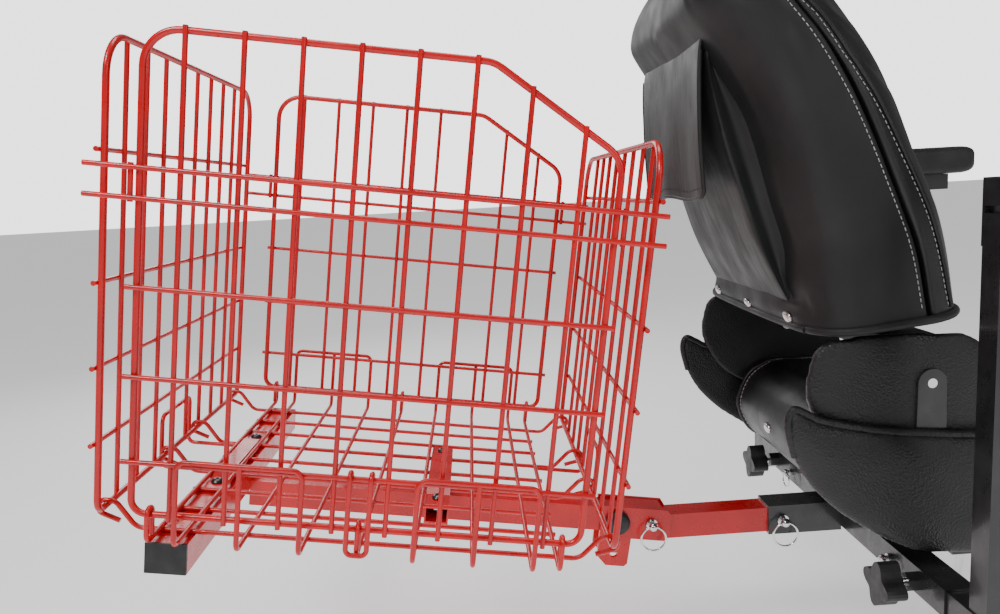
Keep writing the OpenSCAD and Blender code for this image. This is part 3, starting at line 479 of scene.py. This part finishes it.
pocket_cloth = finish_base("pocket_fabric", (0.009, 0.0095, 0.0095), 0.52, sheen=0.04)
vary_colour(pocket_cloth, pattern(pocket_cloth, NOISE, 9, stretch=(1, 2.5, 0.6), Detail=5),
            (0.006, 0.0065, 0.0065), (0.014, 0.015, 0.015))
vary_gloss(pocket_cloth, pattern(pocket_cloth, NOISE, 22, Detail=5), 0.45, 0.60)
emboss(pocket_cloth, pattern(pocket_cloth, NOISE, 26, stretch=(1, 2.2, 0.5), Detail=4), 0.004, 0.35)
emboss(pocket_cloth, pattern(pocket_cloth, NOISE, 1700, Detail=2), 0.0002, 0.4)

arm_foam = finish_base("arm_pad_foam", (0.012, 0.012, 0.013), 0.48)
vary_colour(arm_foam, pattern(arm_foam, NOISE, 25, Detail=5),
            (0.009, 0.009, 0.010), (0.018, 0.018, 0.019))
vary_gloss(arm_foam, pattern(arm_foam, NOISE, 40, Detail=4), 0.40, 0.56)
emboss(arm_foam, pattern(arm_foam, CELLS, 700, Randomness=1.0), 0.0006, 0.45)

thread = finish_base("pale_thread", (0.42, 0.42, 0.40), 0.75, sheen=0.3)
vary_colour(thread, pattern(thread, NOISE, 300, Detail=3), (0.32, 0.32, 0.31), (0.52, 0.52, 0.50))
emboss(thread, pattern(thread, WAVES, 900), 0.0002, 0.6)

dark_thread = finish_base("dark_thread", (0.03, 0.03, 0.03), 0.7)
vary_colour(dark_thread, pattern(dark_thread, NOISE, 300, Detail=3),
            (0.02, 0.02, 0.02), (0.05, 0.05, 0.05))

# %% Dress the frame's own parts
finishes = {
    "red_powder_coat": red_coat, "black_steel": black_paint, "chrome": chrome, "zinc_steel": zinc,
    "snap_metal": snap_metal, "black_plastic": black_plastic, "grip_rubber": grip_rubber,
    "moulded_shell": shell_grain, "seat_leather": leather, "pocket_fabric": pocket_cloth,
    "arm_pad_foam": arm_foam,
}
slot_of = {part["node"]: part["material_slot"] for part in frame["record"]["subparts"]}


def dress(obj, material):
    """One material for the whole object."""
    obj.data.materials.clear()
    obj.data.materials.append(material)


for name, node in nodes.items():
    dress(node, finishes[slot_of[name]])
print("finishes", len(finishes))


def place(obj, body, slot, *replaced, material=None):
    """A finished piece: its material, the body that it rides on and the parts that it stands for."""
    dress(obj, material or finishes[slot])
    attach(obj, body)
    if replaced:
        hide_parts(*replaced)
    return obj

# %% [markdown]
# ## The back of the seat
# The back is a thick cushion under a sewn cover. Seen from the side, its rear face rises, leans back
# and rolls over the top, and its front face leans the same way. A level cut is a rectangle with round
# corners. So the skin is drawn as cuts between a rear line and a front line, and the side seam runs
# up it as a column of the grid. The smooth rear cover and the grained front are then two pieces that
# meet at that seam.

# %% The back's side view
REAR_LINE = [(187, 255), (185, 335), (170, 392), (140, 490), (98, 566), (74, 604), (71, 632), (88, 660),
             (120, 681), (156, 689)]
FRONT_LINE = [(344, 271), (326, 361), (293, 450), (262, 520), (227, 584), (206, 634), (188, 670),
              (164, 689)]
SEAM_LOW = 0.71
SEAM_HIGH = 0.50
BACK_HALF = 198
SHOULDER_FROM = 540
SHOULDER_ROUND = 150
REAR_CORNER = 46
FRONT_CORNER = 52
HEM_ROWS = [0.0, 0.012, 0.024]
LEVELS = 62

rows_at = HEM_ROWS + [0.036 + (1 - 0.036) * i / (LEVELS - 1) for i in range(LEVELS)]
rear_edge = evenly(curve_through([(x, 0, z) for x, z in REAR_LINE]), rows_at)
front_edge = evenly(curve_through([(x, 0, z) for x, z in FRONT_LINE]), rows_at)


def half_width(z):
    """Half the back's width at a height: straight sides under round shoulders."""
    rise = max(0.0, min(z - SHOULDER_FROM, SHOULDER_ROUND))
    return BACK_HALF - SHOULDER_ROUND + math.sqrt(SHOULDER_ROUND ** 2 - rise ** 2)


def arc(centre_a, centre_y, radius, start, end, steps=10):
    """Points of an arc in a level cut, as (from the rear face, across)."""
    angles = [math.radians(start + (end - start) * i / steps) for i in range(steps + 1)]
    return [(centre_a + radius * math.cos(a), centre_y + radius * math.sin(a)) for a in angles]


def half_cut(level):
    """The left half of a level cut, from the middle of the rear to the middle of the front,
    and where the side seam crosses it."""
    rear, front = rear_edge[level], front_edge[level]
    depth = (front - rear).length
    half = half_width((rear.z + front.z) / 2)
    seam_share = SEAM_LOW + (SEAM_HIGH - SEAM_LOW) * rows_at[level]
    behind, ahead = min(REAR_CORNER, depth * 0.45), min(FRONT_CORNER, depth * 0.45)
    crown = min(6.0, depth * 0.05)
    flat = [i / 12 * (half - behind) for i in range(13)]
    outline = [(-crown * (1 - (y / half) ** 2), y) for y in flat]
    outline += arc(behind, half - behind, behind, 180, 90)
    outline += arc(depth - ahead, half - ahead, ahead, 90, 0)
    outline += [(depth + crown * (1 - (y / half) ** 2), y)
                for y in ((half - ahead) * (1 - i / 12) for i in range(1, 13))]
    forward = (front - rear).normalized()
    points = [rear + forward * a + Vector((0, y, 0)) for a, y in outline]
    first = next(i for i, (a, y) in enumerate(outline) if i > 12 and a >= seam_share * depth)
    a0, a1 = outline[first - 1][0], outline[first][0]
    along = (seam_share * depth - a0) / max(a1 - a0, 1e-6)
    seam = points[first - 1].lerp(points[first], along)
    return points[:first] + [seam], [seam] + points[first:]


def whole_row(half, columns):
    """A half line and its mirror image, as evenly spaced points from the left seam to the right."""
    spots = evenly(half, shares(columns))
    left = [at(p.x, p.y, p.z) for p in spots]
    right = [Vector((p.x, -p.y, p.z)) for p in reversed(left)]
    return left, right


print("levels", len(rows_at))

# %% Sew the two halves of the back
def back_half(name, rear, columns=38, inner=14):
    """The rear or the front half of the back, closed by a flat wall inside along the seam."""
    rows, seams = [], []
    for level in range(len(rows_at)):
        to_seam, from_seam = half_cut(level)
        half = list(reversed(to_seam)) if rear else from_seam
        left, right = whole_row(half, columns)
        wall = [right[-1].lerp(left[0], i / inner) for i in range(1, inner)]
        rows.append(left + right[1:] + wall)
        seams.append(left[0])
    obj = skin(name, rows, around=True)
    face_columns = 2 * columns - 1
    width = len(rows[0]) + 1
    held = []
    for i in range(len(obj.data.vertices)):
        row, column = divmod(i, width)
        edge = column <= 1 or column >= face_columns - 2
        if edge or row < len(HEM_ROWS) or row > len(rows_at) - 3:
            held.append(i)
    spots = [obj.data.vertices[i].co.copy() for i in held]
    merge_and_close(obj)
    tree = {tuple(round(x, 5) for x in v.co): v.index for v in obj.data.vertices}
    pinned = sorted({tree[key] for key in (tuple(round(x, 5) for x in s) for s in spots) if key in tree})
    return obj, pinned, seams


rear_cover, rear_pins, seam_points = back_half("back_cover_sewn", rear=True)
front_pad, front_pins, _ = back_half("back_cushion_sewn", rear=False)
stuff(rear_cover, rear_pins, pressure=2.0, most=0.006)
stuff(front_pad, front_pins, pressure=5.0, most=0.013)
for half in (rear_cover, front_pad):
    apply_modifier(half, "SUBSURF", levels=1, render_levels=1)
wrinkle(rear_cover, (9, 5, 4), 0.0035, seed=3)
wrinkle(rear_cover, (34, 12, 11), 0.0011, seed=8)
wrinkle(front_pad, (16, 16, 12), 0.0022, seed=5)
for half in (rear_cover, front_pad):
    smooth(half, 70)
place(rear_cover, "backrest", "seat_leather", "back_cover", material=cover_cloth)
place(front_pad, "backrest", "seat_leather", "back_cushion")
print("back", len(rear_cover.data.polygons), len(front_pad.data.polygons), "faces")

# %% [markdown]
# Seams make a sewn cover believable. A row of pale stitches runs down each side just behind the side
# seam, another follows the welt on the front corner, and the hem round the bottom is rolled over a
# cord. Threads are real little rods, so they catch the light in any view.

# %% Stitches and the hem of the back
def mirrored(points):
    """The same points on the other side of the seat."""
    return [Vector((p.x, -p.y, p.z)) for p in points]


def shifted(points, forward, up=0.0):
    """The points moved by millimetres."""
    return [p + Vector((forward, 0, up)) * MM for p in points]


seam_run = evenly(seam_points[3:-6], shares(90))
rows_of_thread = []
for side, run in (("left", seam_run), ("right", mirrored(seam_run))):
    run = on_surface(rear_cover, shifted(run, -9), 0.0003)
    rows_of_thread.append(
        stitches("side_thread_" + side, run, pitch=0.0062, length=0.0042, radius=0.0006))
side_thread = join("back_side_stitches", *rows_of_thread)
place(side_thread, "backrest", "seat_leather", material=thread)

welts, welt_threads = [], []
for side in (1, -1):
    corner = [Vector((p.x + 0.034 * (1 - i / 90), side * (abs(p.y) - 0.006), p.z))
              for i, p in enumerate(seam_run)]
    corner = on_surface(front_pad, corner, 0.0006)
    welts.append(tube("welt", corner, 0.0024))
    welt_threads.append(stitches("welt_thread", on_surface(front_pad, shifted(corner, -7), 0.0004),
                                 pitch=0.0062, length=0.004, radius=0.0005))
back_welts = join("back_welts", *welts)
place(back_welts, "backrest", "seat_leather", material=leather)
welt_thread = join("back_welt_stitches", *welt_threads)
place(welt_thread, "backrest", "seat_leather", material=thread)


def level_loop(level):
    """A closed loop round the back at one level."""
    to_seam, from_seam = half_cut(level)
    left = [at(p.x, p.y, p.z) for p in to_seam[2:] + from_seam[1:]]
    return left + list(reversed(mirrored(left)))


hem = tube("back_hem_piping", level_loop(1), 0.0045, closed=True, sides=4)
place(hem, "backrest", "seat_leather", material=cover_cloth)
print("stitches", len(side_thread.data.polygons), "faces")

# %% [markdown]
# ## Press studs
# The back's cover and the seat's skirt close with oval metal studs. Each is a low dome with a rim,
# turned from an outline and stretched a little sideways.

# %% Turn the studs
STUD = [(0, 3.4), (3.0, 3.2), (5.2, 2.4), (6.0, 1.5), (6.3, 1.6), (7.0, 1.1), (7.2, 0.2),
        (6.6, -0.6), (0, -0.6)]


def stud(name, surface, where):
    """An oval stud that stands on a surface nearest to a point."""
    tree = BVHTree.FromPolygons([v.co for v in surface.data.vertices],
                                [tuple(p.vertices) for p in surface.data.polygons])
    spot, normal, _, _ = tree.find_nearest(where)
    obj = lathe(name, STUD, spot, normal)
    for vertex in obj.data.vertices:
        vertex.co.y = spot.y + (vertex.co.y - spot.y) * 1.3
    return obj


cover_studs = join("cover_studs", *[stud("stud", rear_cover, at(184, y, 271)) for y in (-120, 0, 120)])
place(cover_studs, "backrest", "snap_metal", "cover_snaps")
print("studs 3")

# %% [markdown]
# ## Pocket and flap
# A map pocket is sewn on behind. It is one sheet: a front panel with pleated gussets that let it
# stand open, so a level cut is a wide U. The flap over it is cut a little wider, stitched along the
# top, bound round its edge, and its free edge waves. Both are drawn flat-sided and then thickened.

# %% Sew the pocket
POCKET_HALF = 125
POCKET_THICK = 0.0024
FLAP_HALF = 129
FLAP_THICK = 0.0032


def along_line(line, z):
    """How far forward a side-view line is at a height."""
    for (x0, z0), (x1, z1) in zip(line, line[1:]):
        if min(z0, z1) <= z <= max(z0, z1):
            return x0 + (x1 - x0) * (z - z0) / (z1 - z0)
    return line[-1][0] if z > line[-1][1] else line[0][0]


def cloth_area(rows):
    """The area of a sheet laid on rows of points."""
    return sum((b - a).cross(c - a).length / 2 + (c - a).cross(d - a).length / 2
               for low, high in zip(rows, rows[1:])
               for a, b, c, d in zip(low, low[1:], high[1:], high))


def thicken_cloth(sheet, thickness):
    """Gives a sheet its thickness and a smooth skin."""
    apply_modifier(sheet, "SOLIDIFY", thickness=thickness, offset=0.0, use_even_offset=False)
    apply_modifier(sheet, "SUBSURF", levels=1, render_levels=1)
    in_edit_mode(sheet, lambda: bpy.ops.mesh.normals_make_consistent(inside=False))
    smooth(sheet, 60)


COVER_SIDE = [(p.x, p.z) for p in rear_edge]
POCKET_SIDE = [(p.x, p.z) for p in curve_through(
    [(178, 0, 287), (150, 0, 345), (131, 0, 400), (109, 0, 468), (95, 0, 530), (92, 0, 562)])]
pocket_rows = []
POCKET_LEVELS = 44
for i in range(POCKET_LEVELS):
    share = i / (POCKET_LEVELS - 1)
    z = 288 + 273 * share
    outer, inner = along_line(POCKET_SIDE, z), along_line(COVER_SIDE, z) - 3
    outer = min(outer, inner - 4)
    depth = inner - outer
    fold = min(11, depth * 0.6)
    gusset = [(inner - depth * t, POCKET_HALF - fold * math.sin(math.pi * t) ** 1.4) for t in shares(9)]
    panel = []
    for k in range(1, 49):
        y = POCKET_HALF * (1 - k / 24)
        sag = 5.0 * math.sin(math.pi * share) * (1 - (y / POCKET_HALF) ** 2)
        fold_in = 1.6 * noise.noise(Vector((y * 0.02, z * 0.008, 1.3)))
        mouth = 4.0 * share ** 5 * (1 - (y / POCKET_HALF) ** 2)
        panel.append((outer - sag - mouth + fold_in, y))
    row = gusset + panel + [(a, -y) for a, y in reversed(gusset[:-1])]
    pocket_rows.append([at(a, y, z) for a, y in row])
pocket = skin("back_pocket_bag", pocket_rows)
thicken_cloth(pocket, POCKET_THICK)
place(pocket, "backrest", "pocket_fabric", "back_pocket")
print("pocket", round(cloth_area(pocket_rows), 4), "square metres")

# %% Sew the flap
FLAP_SIDE = [(97, 582), (90, 576), (85.5, 566), (83.5, 548), (83, 520), (84, 480), (86, 440), (88, 404)]
flap_edge = evenly(curve_through([(x, 0, z) for x, z in FLAP_SIDE]), shares(40))
flap_rows = []
for i, spot in enumerate(flap_edge):
    share = i / 39
    row = []
    for k in range(61):
        y = FLAP_HALF * (1 - k / 30)
        wave = share ** 2 * 3.4 * math.sin(y * 0.045 + 1.1)
        crease = share * 3.0 * noise.noise(Vector((y * 0.016 + spot.z * 0.010, y * 0.006, 4.7)))
        corner = 6 * max(0, (abs(y) / FLAP_HALF - 0.9) / 0.1) ** 2 * share ** 12
        row.append(at(spot.x - wave - crease, y, spot.z + wave * 0.6 + corner))
    flap_rows.append(row)
flap = skin("pocket_flap_sewn", flap_rows)
thicken_cloth(flap, FLAP_THICK)
place(flap, "backrest", "pocket_fabric", "pocket_flap")
loose_rows = flap_rows[6:]
edge_line = [row[0] for row in loose_rows] + flap_rows[-1][1:-1]
edge_line += [row[-1] for row in reversed(loose_rows)]
binding = tube("flap_binding", edge_line, 0.0024)
place(binding, "backrest", "pocket_fabric", material=cover_cloth)
hem_row = on_surface(flap, shifted(flap_rows[-3][2:-2], -3), 0.0003)
hem_row = stitches("flap_hem_stitches", hem_row, pitch=0.006, length=0.004, radius=0.0005)
place(hem_row, "backrest", "pocket_fabric", material=dark_thread)
print("flap", round(cloth_area(flap_rows), 4), "square metres")

# %% [markdown]
# ## Moulded shells
# The wings of the base and the cheeks of the back are blow-moulded: thick plates with a pillowed
# outer face. An outline is extruded, remeshed into an even skin, and then every outer point is pushed
# out by how far it is from the outline, which gives the soft pillow that runs down to the edge.

# %% Mould a pillowed plate
def moulded_plate(name, profile, inner, outer, dome, reach):
    """A plate on the left side whose outer face swells by dome millimetres within reach of its edge."""
    line = curve_through([(x, 0, z) for x, z in profile], steps=8, closed=True)
    data = bpy.data.meshes.new(name)
    data.from_pydata([at(p.x, inner, p.z) for p in line], [], [tuple(range(len(line)))])
    obj = bpy.data.objects.new(name, data)
    bpy.context.scene.collection.objects.link(obj)
    in_edit_mode(
        obj,
        lambda: bpy.ops.mesh.extrude_region_move(
            TRANSFORM_OT_translate={"value": (0, (outer - inner) * MM, 0)}),
        lambda: bpy.ops.mesh.normals_make_consistent(inside=False),
    )
    apply_modifier(obj, "REMESH", mode="VOXEL", voxel_size=0.0034)
    close = evenly([at(p.x, 0, p.z) for p in line + line[:1]], shares(700))
    edge = KDTree(len(close))
    for i, p in enumerate(close):
        edge.insert(p, i)
    edge.balance()
    middle_y = (inner + outer) / 2 * MM
    for vertex in obj.data.vertices:
        if vertex.co.y > middle_y:
            flat = Vector((vertex.co.x, 0, vertex.co.z))
            near = min(edge.find(flat)[2] / (reach * MM), 1.0)
            vertex.co.y += dome * MM * math.sqrt(1 - (1 - near) ** 2)
    apply_modifier(obj, "SMOOTH", factor=0.5, iterations=7)
    smooth(obj, 60)
    return obj


def board(low, high, bevel):
    """A flat board between two corners, with rounded edges."""
    bpy.ops.object.select_all(action="DESELECT")
    bpy.ops.mesh.primitive_cube_add(size=1, location=(low + high) / 2, scale=high - low)
    obj = bpy.context.object
    bpy.ops.object.transform_apply(location=True, rotation=False, scale=True)
    in_edit_mode(obj, lambda: bpy.ops.mesh.bevel(offset=bevel, segments=2))
    return obj


def mirror_copy(obj, name):
    """A mirrored copy for the other side of the seat."""
    twin = obj.copy()
    twin.data = obj.data.copy()
    twin.name = twin.data.name = name
    bpy.context.scene.collection.objects.link(twin)
    for vertex in twin.data.vertices:
        vertex.co.y = -vertex.co.y
    in_edit_mode(twin, lambda: bpy.ops.mesh.normals_make_consistent(inside=False))
    return twin


# %% Wings and pan of the base
WING = [(152, 188), (147, 166), (153, 138), (172, 104), (204, 72), (261, 36), (315, 22), (470, 20),
        (640, 21), (690, 45), (703, 92), (650, 122), (500, 136), (363, 147), (259, 157), (187, 172)]
BASE_OUT = 196
wing = moulded_plate("wing", WING, BASE_OUT, 203, 9, 40)
rim_line = curve_through([(x, 200, z) for x, z in WING[-6:]][1:] + [(168, 200, 181), (153, 200, 187),
                                                                   (148, 200, 170), (155, 200, 138)])
rim = tube("wing_rim", [at(*p) for p in rim_line], 0.0045, sides=4)
wing = join("wing", wing, rim)
other_wing = mirror_copy(wing, "other_wing")
pan = board(at(300, -BASE_OUT, 20), at(676, BASE_OUT, 26), bevel=0.002)
base_shell = join("base_shell_moulded", wing, other_wing, pan)
smooth(base_shell, 50)
place(base_shell, "seat", "moulded_shell", "seat_base_shell")
print("base shell", len(base_shell.data.polygons), "faces")

# %% Cheeks of the back
CHEEK = [(189, 250), (175, 222), (173, 194), (183, 168), (202, 141), (232, 121), (266, 112), (320, 110),
         (368, 113), (384, 142), (384, 176), (372, 214), (346, 250), (300, 256), (240, 257)]
cheek = moulded_plate("cheek", CHEEK, 180, 187, 6, 34)
other_cheek = mirror_copy(cheek, "other_cheek")
cross_board = board(at(262, -182, 230), at(312, 182, 254), bevel=0.003)
back_cheeks = join("back_cheeks_moulded", cheek, other_cheek, cross_board)
smooth(back_cheeks, 50)
place(back_cheeks, "backrest", "moulded_shell", "back_shell")
print("cheeks", len(back_cheeks.data.polygons), "faces")

# %% [markdown]
# ## Seat cushion
# The base cushion is a thick pad between the wings. Its side view is extruded, remeshed and blown up
# a little by the cloth solver, so its faces crown and its corners round. Piping and a stitched row
# then follow both side edges.

# %% Sew the seat cushion
CUSHION = [(238, 48), (221, 74), (217, 100), (231, 134), (257, 150), (302, 156), (640, 156), (682, 142),
           (702, 111), (698, 67), (682, 38), (660, 29), (300, 29), (264, 41)]
CUSHION_HALF = 168
line = curve_through([(x, 0, z) for x, z in CUSHION], steps=6, closed=True)
cushion_data = bpy.data.meshes.new("base_cushion_sewn")
cushion_data.from_pydata([at(p.x, -CUSHION_HALF, p.z) for p in line], [], [tuple(range(len(line)))])
cushion = bpy.data.objects.new("base_cushion_sewn", cushion_data)
bpy.context.scene.collection.objects.link(cushion)
cushion_width = (0, 2 * CUSHION_HALF * MM, 0)
in_edit_mode(
    cushion,
    lambda: bpy.ops.mesh.extrude_region_move(TRANSFORM_OT_translate={"value": cushion_width}),
    lambda: bpy.ops.mesh.normals_make_consistent(inside=False),
)
apply_modifier(cushion, "REMESH", mode="VOXEL", voxel_size=0.0058)
stuff(cushion, [], pressure=4.0, most=0.004)
apply_modifier(cushion, "SUBSURF", levels=1, render_levels=1)
wrinkle(cushion, (14, 14, 14), 0.0018, seed=11)
smooth(cushion, 70)
place(cushion, "seat", "seat_leather", "base_cushion")
bands, band_threads = [], []
for side in (1, -1):
    top_line = [at(p.x, side * (CUSHION_HALF - 5), p.z) for p in line]
    bands.append(tube("band", on_surface(cushion, top_line, 0.001), 0.003, closed=True))
    threads_at = on_surface(cushion, [at(p.x, side * (CUSHION_HALF - 15), p.z) for p in line], 0.0003)
    band_threads.append(stitches("band_thread", threads_at, pitch=0.0062, length=0.0042, radius=0.0006))
piping = join("base_cushion_piping", *bands)
place(piping, "seat", "seat_leather")
cushion_thread = join("base_cushion_stitches", *band_threads)
place(cushion_thread, "seat", "seat_leather", material=thread)
base_studs = join("base_studs", *[stud("stud", cushion, at(214, y, 86)) for y in (-50, 50)])
place(base_studs, "seat", "snap_metal", "base_snaps")
print("cushion", len(cushion.data.polygons), "faces")

# %% [markdown]
# ## Armrest pads
# Each pad is foam with a skin, moulded in two halves, so a fine groove runs round it at mid height.
# Cuts across its length are rounded rectangles that shrink towards both ends.

# %% Mould the pads
def armrest_pad(node, body, name):
    """A pad that fills the frame part's box."""
    low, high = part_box(node)
    centre, size = (low + high) / 2, high - low
    rows = []
    for t in [0.0, 0.004, 0.012, 0.026, 0.045, 0.07, 0.1] + [0.14 + 0.72 * i / 22 for i in range(23)] + \
            [0.9, 0.93, 0.955, 0.974, 0.988, 0.996, 1.0]:
        end = min(t, 1 - t) * size.x
        swell = math.sqrt(max(0.0, 1 - (1 - min(end / 0.024, 1)) ** 2)) if end < 0.024 else 1.0
        half_w = size.y / 2 * (0.30 + 0.70 * swell)
        half_t = size.z / 2 * (0.30 + 0.70 * swell)
        row = []
        for k in range(56):
            a = 2 * math.pi * k / 56
            c, s = math.cos(a), math.sin(a)
            power = 0.42
            y = half_w * math.copysign(abs(c) ** power, c)
            z = half_t * math.copysign(abs(s) ** power, s)
            groove = 1 - 0.035 * math.exp(-((z - 0.001) / 0.0011) ** 2)
            row.append(Vector((low.x + t * size.x, centre.y + y * groove, centre.z + z)))
        rows.append(row)
    pad = skin(name, rows, around=True)
    merge_and_close(pad)
    apply_modifier(pad, "SUBSURF", levels=1, render_levels=1)
    smooth(pad, 50)
    place(pad, body, "arm_pad_foam", node)
    return pad


for side in ("right", "left"):
    pad = armrest_pad("armrest_pad_" + side, "armrest_" + side, "armrest_cushion_" + side)
    print(pad.name, len(pad.data.polygons), "faces")

# %% [markdown]
# ## Floor and light
# A pale floor and a near-white surround keep the picture plain. Big soft lights give long white
# streaks along the wires and the tube, a broad sheen on the cover, and almost no hard shadow.

# %% Lay the floor
bpy.ops.object.select_all(action="DESELECT")
bpy.ops.mesh.primitive_grid_add(x_subdivisions=4, y_subdivisions=4, size=60, location=(0, 0, -0.001))
floor = bpy.context.object
floor.name = "floor"
bpy.ops.object.transform_apply(location=True, rotation=False, scale=True)
floor_paint = finish_base("floor_paint", (0.9, 0.9, 0.9), 0.85)
floor_paint.node_tree.nodes["Principled BSDF"].inputs["Emission Color"].default_value = (1, 1, 1, 1)
floor_paint.node_tree.nodes["Principled BSDF"].inputs["Emission Strength"].default_value = 0.5
vary_gloss(floor_paint, pattern(floor_paint, NOISE, 3, Detail=2), 0.8, 0.9)
dress(floor, floor_paint)

# %% Hang the lights
world = bpy.data.worlds.new("studio")
bpy.context.scene.world = world
world.use_nodes = True
studio = world.node_tree
surround = studio.nodes["Background"]
surround.inputs["Color"].default_value = (1, 1, 1, 1)
surround.inputs["Strength"].default_value = 0.20
backdrop = studio.nodes.new("ShaderNodeBackground")
backdrop.inputs["Color"].default_value = (1, 1, 1, 1)
backdrop.inputs["Strength"].default_value = 2.6
rays, choose = studio.nodes.new("ShaderNodeLightPath"), studio.nodes.new("ShaderNodeMixShader")
studio.links.new(rays.outputs["Is Camera Ray"], choose.inputs["Fac"])
studio.links.new(surround.outputs["Background"], choose.inputs[1])
studio.links.new(backdrop.outputs["Background"], choose.inputs[2])
studio.links.new(choose.outputs["Shader"], studio.nodes["World Output"].inputs["Surface"])


def soft_light(name, where, towards, width, height, power):
    """A rectangular light that points at a place."""
    data = bpy.data.lights.new(name, "AREA")
    data.shape = "RECTANGLE"
    data.size, data.size_y, data.energy = width, height, power
    lamp = bpy.data.objects.new(name, data)
    bpy.context.scene.collection.objects.link(lamp)
    aim = (Vector(towards) - Vector(where)).to_track_quat("-Z", "Y")
    lamp.matrix_world = Matrix.Translation(where) @ aim.to_matrix().to_4x4()
    return lamp


soft_light("key", (-1.5, -1.4, 2.2), (-0.4, 0, 0.4), 0.9, 0.6, 30)
soft_light("side", (0.9, -2.0, 1.5), (-0.3, 0, 0.4), 0.6, 1.2, 9)
soft_light("top", (-0.5, 0.2, 2.6), (-0.5, 0, 0.3), 1.2, 0.8, 16)
soft_light("back", (-1.4, 1.9, 1.6), (-0.4, 0, 0.4), 1.2, 1.2, 16)
print("lights 4")
